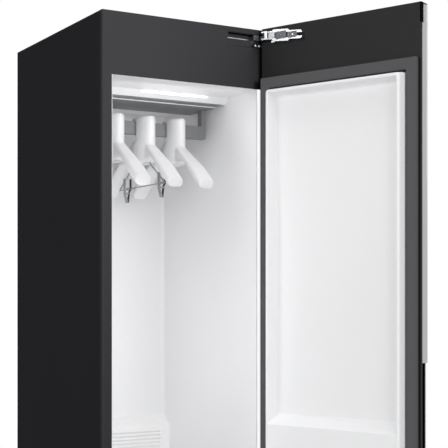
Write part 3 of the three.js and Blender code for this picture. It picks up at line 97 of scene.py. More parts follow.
# Several values joined one by one, into their product or the largest of them
def joinValues(tree, operation, values, left, height):
    joined = values[0]
    for step, value in enumerate(values[1:]):
        node = addNode(tree, "ShaderNodeMath", (left + 200 * step, height), operation=operation)
        tree.links.new(joined, node.inputs[0])
        tree.links.new(value, node.inputs[1])
        joined = node.outputs["Value"]
    return joined


# The written colour as linear light, by the sRGB curve
def linearColour(hexCode):
    shares = [int(hexCode[i:i + 2], 16) / 255 for i in (1, 3, 5)]
    return [c / 12.92 if c <= 0.04045 else ((c + 0.055) / 1.055) ** 2.4 for c in shares] + [1.0]


white = (1.0, 1.0, 1.0, 1.0)

# A fine skin for moulded, painted and metal surfaces: tone and gloss drift slowly over the piece,
# up and down from the noise's middle, and a fine grain goes to the bump
skinNoise = {"slowDetail": 3.0, "fineDetail": 2.0, "middle": 0.5}


def makeSkinGroup():
    group = bpy.data.node_groups.new("surfaceSkin", "ShaderNodeTree")
    sockets = {
        "INPUT": {"Colour": "Color", "Drift": "Float", "Drift Scale": "Float", "Roughness": "Float",
                  "Roughness Drift": "Float", "Grain Scale": "Float", "Stretch": "Vector"},
        "OUTPUT": {"Colour": "Color", "Roughness": "Float", "Grain": "Float"},
    }
    for side, kinds in sockets.items():
        for name, kind in kinds.items():
            group.interface.new_socket(name=name, in_out=side, socket_type="NodeSocket" + kind)
    start = addNode(group, "NodeGroupInput", (-900, 0))
    end = addNode(group, "NodeGroupOutput", (700, 0))
    place = addNode(group, "ShaderNodeTexCoord", (-900, -300))
    stretched = addNode(group, "ShaderNodeVectorMath", (-650, -300), operation="MULTIPLY")
    slow = addNode(group, "ShaderNodeTexNoise", (-400, 100), {"Detail": skinNoise["slowDetail"]})
    fine = addNode(group, "ShaderNodeTexNoise", (-400, -300), {"Detail": skinNoise["fineDetail"]})
    centred = addNode(group, "ShaderNodeMath", (-200, 100), {1: skinNoise["middle"]},
                      operation="SUBTRACT")
    tone = addNode(group, "ShaderNodeMath", (0, 150), {2: 1.0}, operation="MULTIPLY_ADD")
    shade = addNode(group, "ShaderNodeVectorMath", (250, 150), operation="SCALE")
    rough = addNode(group, "ShaderNodeMath", (250, -100), operation="MULTIPLY_ADD", use_clamp=True)
    link = group.links.new
    link(place.outputs["Object"], stretched.inputs[0])
    link(start.outputs["Stretch"], stretched.inputs[1])
    link(place.outputs["Object"], slow.inputs["Vector"])
    link(start.outputs["Drift Scale"], slow.inputs["Scale"])
    link(stretched.outputs["Vector"], fine.inputs["Vector"])
    link(start.outputs["Grain Scale"], fine.inputs["Scale"])
    link(slow.outputs["Fac"], centred.inputs[0])
    link(centred.outputs["Value"], tone.inputs[0])
    link(start.outputs["Drift"], tone.inputs[1])
    link(start.outputs["Colour"], shade.inputs[0])
    link(tone.outputs["Value"], shade.inputs["Scale"])
    link(centred.outputs["Value"], rough.inputs[0])
    link(start.outputs["Roughness Drift"], rough.inputs[1])
    link(start.outputs["Roughness"], rough.inputs[2])
    link(shade.outputs["Vector"], end.inputs["Colour"])
    link(rough.outputs["Value"], end.inputs["Roughness"])
    link(fine.outputs["Fac"], end.inputs["Grain"])
    return group


skinGroup = makeSkinGroup()


def makeFinish(name, colour, roughness, metallic=0.0, specular=0.5, edgeTint=1.0, drift=0.04,
               driftScale=3.0, roughDrift=0.08, grain=900.0, stretch=(1.0, 1.0, 1.0),
               bump=0.05, depth=0.0002, emission=0.0):
    material = bpy.data.materials.new(name)
    material.use_nodes = True
    tree = material.node_tree
    shader = tree.nodes["Principled BSDF"]
    setInputs(shader, {
        "Metallic": metallic, "Specular IOR Level": specular,
        "Specular Tint": (edgeTint, edgeTint, edgeTint, 1.0),
        "Emission Color": white, "Emission Strength": emission,
    })
    skin = addNode(tree, "ShaderNodeGroup", (-600, 100), {
        "Colour": linearColour(colour), "Drift": drift, "Drift Scale": driftScale,
        "Roughness": roughness, "Roughness Drift": roughDrift,
        "Grain Scale": grain, "Stretch": stretch,
    }, node_tree=skinGroup)
    relief = addNode(tree, "ShaderNodeBump", (-300, -200), {"Strength": bump, "Distance": depth})
    link = tree.links.new
    link(skin.outputs["Colour"], shader.inputs["Base Color"])
    link(skin.outputs["Roughness"], shader.inputs["Roughness"])
    link(skin.outputs["Grain"], relief.inputs["Height"])
    link(relief.outputs["Normal"], shader.inputs["Normal"])
    return material


# What finishes of one kind share
painted = {
    "metallic": 1.0, "edgeTint": 0.42, "drift": 0.05, "roughDrift": 0.05,
    "grain": 1400.0, "bump": 0.06,
}
moulded = {"drift": 0.02, "grain": 700.0, "bump": 0.03}
blackMoulded = {"grain": 1100.0, "bump": 0.12}

# Name, colour and roughness of each finish, and what else sets it apart
finishes = {
    "dark_paint": makeFinish("darkPaint", "#2b2b2d", 0.45, **painted),
    # A lighter copy of the body paint: painted light for the brighter front
    "front_paint_painted_light": makeFinish("frontPaintPaintedLight", "#313133", 0.45, **painted),
    "black_plastic": makeFinish("blackPlastic", "#171718", 0.5, specular=0.16, **blackMoulded),
    "white_plastic": makeFinish("whiteMoulding", "#f1f1f2", 0.4, specular=0.35, **moulded),
    "hanger_white": makeFinish("hangerWhite", "#e8e8e9", 0.45, specular=0.35, **moulded),
    "grey_plastic": makeFinish("plateGrey", "#88898b", 0.5, specular=0.3, grain=1000.0, bump=0.08),
    "trim_metal": makeFinish("brushedTrim", "#b2b3b4", 0.3, metallic=0.85, grain=1600.0,
                             stretch=(1.0, 1.0, 0.02)),
    "door_glass": makeFinish("tintedGlass", "#b9babc", 0.08, metallic=0.6, drift=0.01,
                             roughDrift=0.01, bump=0.0),
    "seal_rubber": makeFinish("sealRubber", "#545456", 0.7, specular=0.2, grain=800.0, bump=0.08),
    "zinc": makeFinish("brightZinc", "#cdced0", 0.24, metallic=0.95, grain=1300.0, bump=0.06),
    "cast_zinc": makeFinish("castZinc", "#606164", 0.5, metallic=0.8, drift=0.9, driftScale=260.0,
                            grain=500.0, bump=0.35, depth=0.0006),
    "steel": makeFinish("plainSteel", "#a5a6a7", 0.34, metallic=0.9, grain=1300.0),
    "galvanised": makeFinish("galvanisedSheet", "#a9abad", 0.48, metallic=0.8, drift=0.18,
                             driftScale=40.0, grain=600.0),
    "foam": makeFinish("foamWhite", "#dedad0", 0.95, grain=300.0, bump=0.4, depth=0.0008),
    "cap_black": makeFinish("capBlack", "#040404", 0.7, specular=0.02, **blackMoulded),
    # A white that glows: painted light on the liner's skin at the hinge, which the open door shades
    "skin_painted_glow": makeFinish("skinPaintedGlow", "#f1f1f2", 0.4, emission=0.72, **moulded),
    # A grey that glows: painted light that lifts the shade in the louvre's slots
    "louvre_painted_glow": makeFinish("louvrePaintedGlow", "#b1b1b2", 0.4, emission=0.41, **moulded),
    "lamp_lens": makeFinish("lampLens", "#f6f6f7", 0.3),
    "circuit_board": makeFinish("circuitBoard", "#2d5b3c", 0.5, grain=600.0),
    "black_steel": makeFinish("blackSteel", "#1d1d1f", 0.4, metallic=0.3),
    "copper": makeFinish("copperFins", "#b4734e", 0.38, metallic=0.9),
    "aluminium": makeFinish("aluminiumFins", "#c6c8ca", 0.4, metallic=0.9),
    "tank_plastic": makeFinish("tankPlastic", "#cdd6da", 0.22, drift=0.02, grain=500.0, bump=0.02),
    "tank_grey": makeFinish("tankGrey", "#8f959a", 0.4),
}

# The lamp's lens glows along its front half and fades towards its ends:
# each fade runs along an axis, from where the glow starts to where it is full
lensGlow = {
    "fades": (("X", -0.058, -0.03), ("X", 0.14, 0.12), ("Y", -0.1325, -0.136)),
    "strength": 1.9,
}


def lightLens(material):
    tree = material.node_tree
    link = tree.links.new
    place = addNode(tree, "ShaderNodeTexCoord", (-1100, -500))
    parts = addNode(tree, "ShaderNodeSeparateXYZ", (-900, -500))
    link(place.outputs["Object"], parts.inputs["Vector"])
    shares = []
    for row, (axis, start, full) in enumerate(lensGlow["fades"]):
        fade = addNode(tree, "ShaderNodeMapRange", (-700, -400 - 250 * row),
                       {"From Min": start, "From Max": full}, interpolation_type="SMOOTHSTEP")
        link(parts.outputs[axis], fade.inputs["Value"])
        shares.append(fade.outputs["Result"])
    shader = tree.nodes["Principled BSDF"]
    setInputs(shader, {"Emission Strength": lensGlow["strength"]})
    link(joinValues(tree, "MULTIPLY", shares, -450, -500), shader.inputs["Emission Color"])


lightLens(finishes["lamp_lens"])

# Each CAD node wears the finish of its slot, or its own where it looks a little different: the front
# frame and hinge pockets wear a lighter copy of the body paint, painted light for the brighter front,
# and the louvre a glowing white, painted light that lifts the shade in its slots
ownFinish = {
    "front_frame": "front_paint_painted_light",
    "hinge_pocket_top": "front_paint_painted_light",
    "hinge_pocket_bottom": "front_paint_painted_light",
    "louvre_unit": "louvre_painted_glow",
    "outlet_trim": "white_plastic",
}
slotOf = {row["node"]: row["material_slot"] for row in frame["record"]["subparts"]}
bodies = frame["record"]["behaviour"]["bodies"]
bodyOf = {name: body for body, names in bodies.items() for name in names}
for name, slot in slotOf.items():
    nodes[name].data.materials.clear()
    nodes[name].data.materials.append(finishes[ownFinish.get(name, slot)])
print("finishes made:", len(finishes))

# What the shaping of all pieces shares, in metres and degrees
shaping = {
    "weld": 0.00002,    # corners closer than this become one
    "flat": 0.5,        # faces that turn less than this from one to the next become one
    "corner": 30,       # edges that turn more than this are rounded
    "steps": 2,         # faces across such a rounding
    "sheetEdge": 0.0005,    # rounding of parts cut from sheet
    "shade": 40,        # edges that turn more than this stay sharp in the shading
    "facing": 0.9,      # a face looks along an axis if its normal goes this far along it
}


# The piece to be worked on is the only one selected, out of edit mode
def hold(piece):
    if bpy.context.mode != "OBJECT":
        bpy.ops.object.mode_set(mode="OBJECT")
    bpy.ops.object.select_all(action="DESELECT")
    bpy.context.view_layer.objects.active = piece
    piece.select_set(True)


# All of the piece is selected, in edit mode
def chooseAll(piece):
    hold(piece)
    bpy.ops.object.mode_set(mode="EDIT")
    bpy.ops.mesh.select_all(action="SELECT")


# Faces are selected by their centre and normal, and the piece is left in edit mode
def chooseFaces(piece, test):
    hold(piece)
    bpy.context.tool_settings.mesh_select_mode = (False, False, True)
    mesh = piece.data
    for group in (mesh.vertices, mesh.edges, mesh.polygons):
        group.foreach_set("select", [False] * len(group))
    for face in mesh.polygons:
        face.select = test(face.center, face.normal)
    bpy.ops.object.mode_set(mode="EDIT")


def moveAll(piece, way):
    chooseAll(piece)
    bpy.ops.transform.translate(value=way)
    bpy.ops.object.mode_set(mode="OBJECT")


# The end of a shaping in edit mode: every face of the held piece looks outward
def turnOutward():
    bpy.ops.mesh.select_all(action="SELECT")
    bpy.ops.mesh.normals_make_consistent(inside=False)
    bpy.ops.object.mode_set(mode="OBJECT")


def copyPiece(source, name):
    hold(source)
    bpy.ops.object.duplicate()
    piece = bpy.context.object
    piece.name = name
    return piece


def roundEdges(piece, width, steps=shaping["steps"], angle=shaping["corner"]):
    bevel = piece.modifiers.new("roundedEdges", "BEVEL")
    bevel.width = width
    bevel.segments = steps
    bevel.limit_method = "ANGLE"
    bevel.angle_limit = math.radians(angle)
    bpy.ops.object.modifier_apply(modifier=bevel.name)


# Rounded edges catch the light while the flat faces between them stay flat
def evenShade(piece):
    hold(piece)
    bpy.ops.object.shade_smooth_by_angle(angle=math.radians(shaping["shade"]))
    weighing = piece.modifiers.new("flatFaces", "WEIGHTED_NORMAL")
    weighing.keep_sharp = True
    bpy.ops.object.modifier_apply(modifier=weighing.name)


def finishPiece(piece, finish):
    piece.data.materials.append(finishes[finish])
    evenShade(piece)


# A piece of the scene alone, with its finish and body
def fitPiece(piece, body, finish):
    finishPiece(piece, finish)
    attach(piece, body)


# A piece in place of a CAD node takes its body, and the node is hidden
def standFor(piece, name):
    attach(piece, bodyOf[name])
    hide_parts(name)


# A smooth copy of a CAD node: welded, its flat faces joined up, its corners rounded
def softCopy(name, width, steps=shaping["steps"]):
    piece = copyPiece(nodes[name], name + "_soft")
    chooseAll(piece)
    bpy.ops.mesh.remove_doubles(threshold=shaping["weld"])
    bpy.ops.mesh.dissolve_limited(angle_limit=math.radians(shaping["flat"]))
    bpy.ops.mesh.quads_convert_to_tris(quad_method="BEAUTY", ngon_method="BEAUTY")
    bpy.ops.object.mode_set(mode="OBJECT")
    if width:
        roundEdges(piece, width, steps)
    evenShade(piece)
    standFor(piece, name)
    return piece


# How far each moulded or folded piece is rounded; those with 0 are round already
rounding = {
    "front_frame": 0.0007, "top_cover": 0.0006,
    "side_panel_left": 0.0005, "side_panel_right": 0.0005,
    "cavity_liner": 0.0009, "cavity_deck": 0.0008, "louvre_unit": 0.0007, "outlet_plate": 0.0006,
    "hanger_bar": 0.0012, "tank_bay": 0.0009, "fan_housing": 0.0008, "control_box": 0.0009,
    "hinge_pocket_top": 0.0006, "hinge_pocket_bottom": 0.0006,
    "door_frame": 0.0008, "door_glass": 0.0006,
    "edge_trim_upper": 0.0003, "edge_trim_lower": 0.0003,
    "hinge_arm_top": 0.0007, "hinge_arm_bottom": 0.0007,
    "hinge_bracket_top": 0.0004, "hinge_bracket_bottom": 0.0004,
    "supply_tank": 0.001, "drain_tank": 0.001, "supply_tank_lid": 0.0012, "drain_tank_lid": 0.0012,
    "lint_filter": 0.0008, "steam_boiler": 0.0015, "coil_duct": 0.0008, "drain_pump": 0.001,
    "base_pan": 0.0005, "mains_gland": 0.0006, "compressor": 0, "cooling_motor": 0.0008,
    "fan_motor": 0.0008, "steam_hose": 0,
    "foot_front_left": 0.0006, "foot_front_right": 0.0006,
    "foot_rear_left": 0.0006, "foot_rear_right": 0.0006,
    "trouser_rod": 0, "clip_front": 0.0002, "clip_rear": 0.0002,
    "clip_jaw_front": 0.0002, "clip_jaw_rear": 0.0002,
    "circulation_fan": 0.0004, "cooling_fan": 0.0004,
}
moreSteps = {"hanger_bar": 3}       # its rounding is wide enough to show the steps
softPieces = {}
for name, width in rounding.items():
    softPieces[name] = softCopy(name, width, moreSteps.get(name, shaping["steps"]))
print("rounded pieces:", len(softPieces))

# Air hangers: blow-moulded, so every edge and the joint of neck and arms run softly into each other
hangerSkin = {
    "nodes": ("hanger_left", "hanger_centre", "hanger_right"),
    "cell": 0.0022,     # size of the skin's faces
    "relax": 0.5,
    "rounds": 26,
}


def mouldHanger(name):
    piece = softCopy(name, 0)
    remesh = piece.modifiers.new("evenSkin", "REMESH")
    remesh.mode = "VOXEL"
    remesh.voxel_size = hangerSkin["cell"]
    remesh.use_smooth_shade = True
    bpy.ops.object.modifier_apply(modifier=remesh.name)
    relax = piece.modifiers.new("softEdges", "SMOOTH")
    relax.factor = hangerSkin["relax"]
    relax.iterations = hangerSkin["rounds"]
    bpy.ops.object.modifier_apply(modifier=relax.name)
    bpy.ops.object.shade_smooth()


for name in hangerSkin["nodes"]:
    mouldHanger(name)
print("hangers:", len(hangerSkin["nodes"]))


# Pieces shaped by hand start as a primitive, whose place and size go into its mesh
def nameStart(name):
    piece = bpy.context.object
    piece.name = name
    bpy.ops.object.transform_apply(location=True, rotation=True, scale=True)
    return piece


def startBlock(name, low, high):
    bpy.ops.object.select_all(action="DESELECT")
    middle = [(a + b) / 2 for a, b in zip(low, high)]
    lengths = [b - a for a, b in zip(low, high)]
    bpy.ops.mesh.primitive_cube_add(size=1, location=middle, scale=lengths)
    return nameStart(name)


# An upright rectangle across the front, at a level along y. The operator ignores its scale
# setting for a plane, so the object is scaled
def startUpright(name, left, right, low, high, level):
    bpy.ops.object.select_all(action="DESELECT")
    middle = ((left + right) / 2, level, (low + high) / 2)
    bpy.ops.mesh.primitive_plane_add(size=1, location=middle, rotation=(-math.pi / 2, 0, 0))
    bpy.context.object.scale = (right - left, high - low, 1)
    return nameStart(name)


# Door pieces are shaped as if the door were shut, then swung open with it
doorPlace = {
    "pivot": (0.2115, -0.295, 0.0),
    "turn": 111.5,      # degrees from shut to open
    "inner": -0.29,     # level of its inner side while shut
}


def swingOpen(piece):
    chooseAll(piece)
    bpy.ops.transform.rotate(value=-math.radians(doorPlace["turn"]), orient_axis="Z",
                             center_override=doorPlace["pivot"])
    bpy.ops.object.mode_set(mode="OBJECT")


# A moulding drawn out of a rounded outline, loop after loop.
# Each row is the left, right, low, high and level of one loop
def raiseMoulding(name, rows, corner, steps):
    piece = startUpright(name, *rows[0])
    chooseAll(piece)
    bpy.ops.mesh.bevel(offset=corner, segments=steps, affect="VERTICES")
    bpy.ops.mesh.select_all(action="SELECT")
    for (x0, x1, z0, z1, y0), (x2, x3, z2, z3, y1) in zip(rows, rows[1:]):
        move = ((x2 + x3 - x0 - x1) / 2, y1 - y0, (z2 + z3 - z0 - z1) / 2)
        share = ((x3 - x2) / (x1 - x0), 1, (z3 - z2) / (z1 - z0))
        centre = ((x2 + x3) / 2, y1, (z2 + z3) / 2)
        bpy.ops.mesh.extrude_region_move(TRANSFORM_OT_translate={"value": move})
        bpy.ops.transform.resize(value=share, center_override=centre)
    turnOutward()
    return piece


# Door liner: a plug with a deep recess above and a sloping ledge at the recess's foot
doorLiner = {
    "side": 0.1885, "low": 0.095, "high": 1.6962, "back": 0.0003, "proud": 0.033,
    "draft": 0.0045,        # how far the outer walls lean in
    "rim": 0.0075,          # width of the rim round the recess
    "floor": 0.002,         # level of the recess's floor
    "wallDraft": 0.006,     # how far its walls lean in
    "ledge": 0.88,          # height of its foot,
    "ledgeRise": 0.019,     # which rises this much towards the floor
    "corner": 0.007, "cornerSteps": 5,
    "crownRound": 0.005, "mouthRound": 0.0022, "floorRound": 0.006, "steps": 5,
    "hingeReach": 0.0022,   # a little further out at the hinge
}


def makeDoorLiner():
    liner = doorLiner
    proud, draft = liner["proud"], liner["draft"]
    crown, mouth, hollow = liner["crownRound"], liner["mouthRound"], liner["floorRound"]
    depth = proud - liner["floor"]
    opening = draft + liner["rim"]
    turns = [k / liner["steps"] * math.pi / 2 for k in range(liner["steps"] + 1)]
    loops = [(0, 0, liner["back"])]     # inset at the sides and top, inset at the foot, how proud

    # A loop in the recess, whose foot climbs from the ledge as the loops go down to the floor
    def addInside(inset, level):
        lean = (liner["ledgeRise"] - liner["wallDraft"]) * (proud - level) / depth
        rise = liner["ledge"] - liner["low"] + inset - draft - liner["rim"] + lean
        loops.append((inset, rise, level))

    for turn in turns:      # up the outer wall and over the crown
        inset = draft * ((proud - crown) / proud) + crown * (1 - math.cos(turn))
        loops.append((inset, inset, proud - crown * (1 - math.sin(turn))))
    for turn in turns:      # over the rim's inner edge
        addInside(opening - mouth * (1 - math.sin(turn)), proud - mouth * (1 - math.cos(turn)))
    for turn in turns:      # down the recess's walls and round to its floor
        level = liner["floor"] + hollow * (1 - math.sin(turn))
        wall = liner["wallDraft"] * (proud - level) / depth
        addInside(opening + wall + hollow * (1 - math.cos(turn)), level)

    left, right = -liner["side"], liner["side"] + liner["hingeReach"]
    low, high, inner = liner["low"], liner["high"], doorPlace["inner"]
    rows = [(left + a, right - a, low + b, high - a, inner + y) for a, b, y in loops]
    piece = raiseMoulding("door_liner_moulding", rows, liner["corner"], liner["cornerSteps"])
    swingOpen(piece)
    finishPiece(piece, "white_plastic")
    standFor(piece, "door_liner")


# Door gasket: a flat magnetic ring with a fine groove just inside each edge
doorGasket = {
    "side": 0.2155, "low": 0.067, "high": 1.726, "back": 0.0003, "proud": 0.0122,
    "width": 0.0262, "lip": 0.0017, "groove": 0.0007,
    "edgeRound": 0.0008, "edgeAngle": 60,       # the groove's slopes stay crisp
}


def makeDoorGasket():
    ring = doorGasket
    side, groove = ring["side"], ring["groove"]
    inner, facing = doorPlace["inner"], shaping["facing"]
    piece = startBlock("door_gasket_ring", (-side, inner + ring["back"], ring["low"]),
                       (side, inner + ring["proud"], ring["high"]))
    chooseFaces(piece, lambda centre, normal: abs(normal.y) > facing)
    bpy.ops.mesh.inset(thickness=ring["width"], depth=0)
    bpy.ops.mesh.bridge_edge_loops()
    chooseFaces(piece, lambda centre, normal: normal.y > facing)
    bpy.ops.mesh.inset(thickness=ring["lip"], depth=0)
    bpy.ops.mesh.inset(thickness=groove, depth=-groove)
    bpy.ops.mesh.inset(thickness=groove, depth=groove)
    swingOpen(piece)
    roundEdges(piece, ring["edgeRound"], angle=ring["edgeAngle"])
    finishPiece(piece, "seal_rubber")
    standFor(piece, "door_gasket")


makeDoorLiner()
makeDoorGasket()
print("door lining made")


# A flat part cut from sheet: a rectangle crossed by cuts, each a point and the way across it,
# with some fields dropped, then given its thickness
def cutSheet(name, wide, tall, back, thick, cuts=(), dropped=None, edge=shaping["sheetEdge"]):
    piece = startUpright(name, *wide, *tall, back)
    for point, way in cuts:
        chooseAll(piece)
        bpy.ops.mesh.bisect(plane_co=point, plane_no=way)
    if dropped:
        chooseFaces(piece, lambda centre, normal: dropped(centre))
        bpy.ops.mesh.delete(type="FACE")
    chooseAll(piece)
    bpy.ops.mesh.dissolve_limited(angle_limit=math.radians(shaping["flat"]))
    bpy.ops.mesh.extrude_region_move(TRANSFORM_OT_translate={"value": (0, thick, 0)})
    turnOutward()
    roundEdges(piece, edge)
    return piece


# Heads of rivets and screws are discs raised in rings, each at a share of the height and the radius
headShape = {
    "sides": 20,
    "rings": ((0.0, 1.0), (0.55, 1.0), (0.85, 0.86), (1.0, 0.6)),
    "socket": ((1.0, 0.45), (0.45, 0.414)),
}


def turnHead(name, size, rings):
    high = size["high"]
    bpy.ops.object.select_all(action="DESELECT")
    bpy.ops.mesh.primitive_circle_add(vertices=headShape["sides"], radius=size["radius"],
                                      fill_type="NGON", rotation=(-math.pi / 2, 0, 0))
    piece = nameStart(name)
    chooseAll(piece)
    for (rise0, share0), (rise1, share1) in zip(rings, rings[1:]):
        move = (0, (rise1 - rise0) * high, 0)
        share = share1 / share0
        bpy.ops.mesh.extrude_region_move(TRANSFORM_OT_translate={"value": move})
        bpy.ops.transform.resize(value=(share, 1, share), center_override=(0, rise1 * high, 0))
    turnOutward()
    return piece


# A copy of a head, its radius times a share, at its place
def setHead(pattern, name, place, share=1.0):
    piece = copyPiece(pattern, name)
    chooseAll(piece)
    bpy.ops.transform.resize(value=(share, 1, share), center_override=(0, 0, 0))
    bpy.ops.transform.translate(value=place)
    bpy.ops.object.mode_set(mode="OBJECT")
    return piece


# The cavity liner's narrow skin on the stile at the hinge side. Its white glows: painted light, as
# the open door's gasket shades it
linerSkin = {
    "wide": (0.1972, 0.2061), "tall": (0.091, 1.7022),
    "back": -0.2772, "thick": -0.0005, "edge": 0.0002,
}
skin = cutSheet("liner_skin", **linerSkin)
fitPiece(skin, "cabinet", "skin_painted_glow")

# Door glass: its inner side is coated black
glass = softPieces["door_glass"]
glass.data.materials.append(finishes["cap_black"])
inwardTurn = math.radians(doorPlace["turn"] + 90)
inward = Vector((math.cos(inwardTurn), math.sin(inwardTurn), 0))
for face in glass.data.polygons:
    if face.normal.dot(inward) > shaping["facing"]:
        face.material_index = 1

# Black end cap over the top of the door's free edge, with a raised field
edgeCap = {
    "low": (-0.2221, -0.3008, 1.805), "high": (-0.2191, -0.2897, 1.8501),
    "margin": 0.0008, "raised": 0.0003,
}
cap = startBlock("edge_cap", edgeCap["low"], edgeCap["high"])
chooseFaces(cap, lambda centre, normal: normal.x < -shaping["facing"])
bpy.ops.mesh.inset(thickness=edgeCap["margin"], depth=edgeCap["raised"])
swingOpen(cap)
fitPiece(cap, "door", "cap_black")
print("skin, glass and edge cap done")

# Hinges: heights in their fittings start at each one's level, and the lower one is mirrored
hinges = {
    "top": {"level": 1.83, "up": 1, "drawnIn": 0.0},
    "bottom": {"level": 0.045, "up": -1, "drawnIn": 0.0033},    # plate and screws clear the gasket
}


def hingeHeight(where, height):
    return hinges[where]["level"] + hinges[where]["up"] * height


def hingeSpan(where, first, second):
    return sorted((hingeHeight(where, first), hingeHeight(where, second)))


# Castings, rivets and a tab on the door's arm, placed by how far they are from the door's edge
armFittings = {
    "edge": 0.2215,
    "face": 0.0095,         # how far the arm stands off the door
    "lean": 0.09,           # how steeply the arm falls away,
    "leanFrom": 0.017,      # from here on
    "yoke": {               # an open fork, whose gap takes the cabinet's lug
        "start": 0.008, "bridge": 0.0172, "end": 0.0255, "half": 0.0105, "gap": 0.0068,
        "back": 0.0088, "thick": 0.0033,
    },
    "inlays": (             # start, end, half height, layer and finish
        (0.028, 0.0465, 0.0065, 0, "steel"),
        (0.05, 0.081, 0.0095, 0, "cast_zinc"),
        (0.0818, 0.0856, 0.0066, 0, "black_plastic"),
        (0.0872, 0.1125, 0.0076, 0, "cast_zinc"),
        (0.0628, 0.0692, 0.003, 1, "black_plastic"),
    ),
    "inlayThick": 0.0005, "inlaySunk": 0.0002,
    "rivet": {"radius": 0.0016, "high": 0.0011, "sunk": 0.0001},
    "rivets": (             # distance, height and share of the radius
        (0.041, 0.0112, 1.0), (0.041, -0.0112, 1.0), (0.066, 0.0, 1.0),
        (0.1, 0.0, 1.375), (0.117, 0.0068, 0.875), (0.117, -0.0068, 0.875),
    ),
    "tab": {"start": 0.035, "end": 0.046, "low": 0.0175, "high": 0.0125,
            "back": 0.003, "thick": 0.0045},
}


def fitArm(where, rivetPattern):
    arm = armFittings
    edge, inner, level = arm["edge"], doorPlace["inner"], hinges[where]["level"]
    face = inner + arm["face"]

    def reach(start, end):
        return edge - end, edge - start

    def mount(piece, away, finish="zinc"):
        moveAll(piece, (0, 0, -hinges[where]["up"] * arm["lean"] * away))
        swingOpen(piece)
        fitPiece(piece, "door", finish)

    yoke = arm["yoke"]
    gap, bridge = yoke["gap"], edge - yoke["bridge"]
    upward, across = (0, 0, 1), (1, 0, 0)
    piece = cutSheet(
        f"hinge_yoke_{where}", reach(yoke["start"], yoke["end"]),
        hingeSpan(where, -yoke["half"], yoke["half"]), inner + yoke["back"], yoke["thick"],
        cuts=[((0, 0, level - gap), upward), ((0, 0, level + gap), upward), ((bridge, 0, 0), across)],
        dropped=lambda centre: abs(centre.z - level) < gap and centre.x > bridge)
    mount(piece, 0)
    for i, (start, end, half, layer, finish) in enumerate(arm["inlays"], start=1):
        back = face - arm["inlaySunk"] + layer * arm["inlayThick"]
        piece = cutSheet(f"hinge_inlay_{where}_{i}", reach(start, end),
                         hingeSpan(where, -half, half), back, arm["inlayThick"])
        mount(piece, (start + end) / 2 - arm["leanFrom"], finish)
    for i, (away, rise, share) in enumerate(arm["rivets"], start=1):
        place = (edge - away, face - arm["rivet"]["sunk"], hingeHeight(where, rise))
        piece = setHead(rivetPattern, f"hinge_rivet_{where}_{i}", place, share)
        mount(piece, away - arm["leanFrom"])
    tab = arm["tab"]
    piece = cutSheet(f"hinge_tab_{where}", reach(tab["start"], tab["end"]),
                     hingeSpan(where, -tab["low"], -tab["high"]), inner + tab["back"], tab["thick"])
    mount(piece, tab["start"] - arm["leanFrom"])


# Plate with its screws and link in the cabinet's pocket, and a bright steel strip on the pocket's
# lower lip: a painted highlight along that edge
pocketFittings = {
    "plate": {"wide": (0.187, 0.2165), "low": 0.0243, "high": 0.0142,
              "back": -0.2772, "thick": -0.0012},
    "screw": {"radius": 0.0031, "high": -0.0019, "sunk": 0.0001, "drop": 0.0205},   # facing front
    "screws": (0.192, 0.2025, 0.2125),
    "link": {"wide": (0.1875, 0.1899), "half": 0.0065, "slant": 0.012,
             "back": -0.2575, "thick": -0.0199, "edge": 0.0008},
    "lip": {"wide": (0.1115, 0.168), "low": 0.0092, "high": 0.0074,
            "back": -0.2772, "thick": -0.0009, "edge": 0.0003},
}


def fitPocket(where, screwPattern):
    drawnIn = hinges[where]["drawnIn"]
    plate = pocketFittings["plate"]
    tall = hingeSpan(where, drawnIn - plate["low"], -plate["high"])
    piece = cutSheet(f"hinge_bracket_plate_{where}", plate["wide"], tall,
                     plate["back"], plate["thick"])
    fitPiece(piece, "cabinet", "black_steel")
    screw = pocketFittings["screw"]
    seat = plate["back"] + plate["thick"] + screw["sunk"]
    for i, x in enumerate(pocketFittings["screws"], start=1):
        place = (x, seat, hingeHeight(where, drawnIn - screw["drop"]))
        piece = setHead(screwPattern, f"hinge_screw_{where}_{i}", place)
        fitPiece(piece, "cabinet", "zinc")
    link = pocketFittings["link"]
    tall = hingeSpan(where, -link["half"], link["half"])
    piece = cutSheet(f"hinge_link_{where}", link["wide"], tall,
                     link["back"], link["thick"], edge=link["edge"])
    chooseFaces(piece, lambda centre, normal: normal.y < -shaping["facing"])
    bpy.ops.transform.translate(value=(link["slant"], 0, 0))
    bpy.ops.object.mode_set(mode="OBJECT")
    fitPiece(piece, "cabinet", "cast_zinc")
    # The bright strip on the pocket's lower lip is a painted highlight along that edge
    lip = pocketFittings["lip"]
    tall = hingeSpan(where, -lip["low"], -lip["high"])
    piece = cutSheet(f"hinge_pocket_painted_highlight_{where}", lip["wide"], tall,
                     lip["back"], lip["thick"], edge=lip["edge"])
    fitPiece(piece, "cabinet", "steel")


# One rivet and one screw are turned, and every other is a copy
rivetPattern = turnHead("rivet", armFittings["rivet"], headShape["rings"])
screwPattern = turnHead("screw", pocketFittings["screw"], headShape["rings"] + headShape["socket"])
for where in hinges:
    fitArm(where, rivetPattern)
    fitPocket(where, screwPattern)
bpy.data.objects.remove(rivetPattern)
bpy.data.objects.remove(screwPattern)
print("hinges fitted out:", len(hinges))

# Floor that fades out to white, in white surroundings
stageSet = {
    "floorHalf": 6.0, "floorDrop": 0.0005, "floorColour": "#f4f4f4", "floorRoughness": 0.9,
    "fadeStart": 1.0, "fadeEnd": 3.2, "skyStrength": 0.3,
}


# Rays from the camera, also by way of gloss or glass, give 1, and all others 0
def seenShare(tree, left, height):
    rays = addNode(tree, "ShaderNodeLightPath", (left, height))
    kinds = ("Is Camera Ray", "Is Glossy Ray", "Is Transmission Ray")
    return joinValues(tree, "MAXIMUM", [rays.outputs[kind] for kind in kinds], left + 200, height)


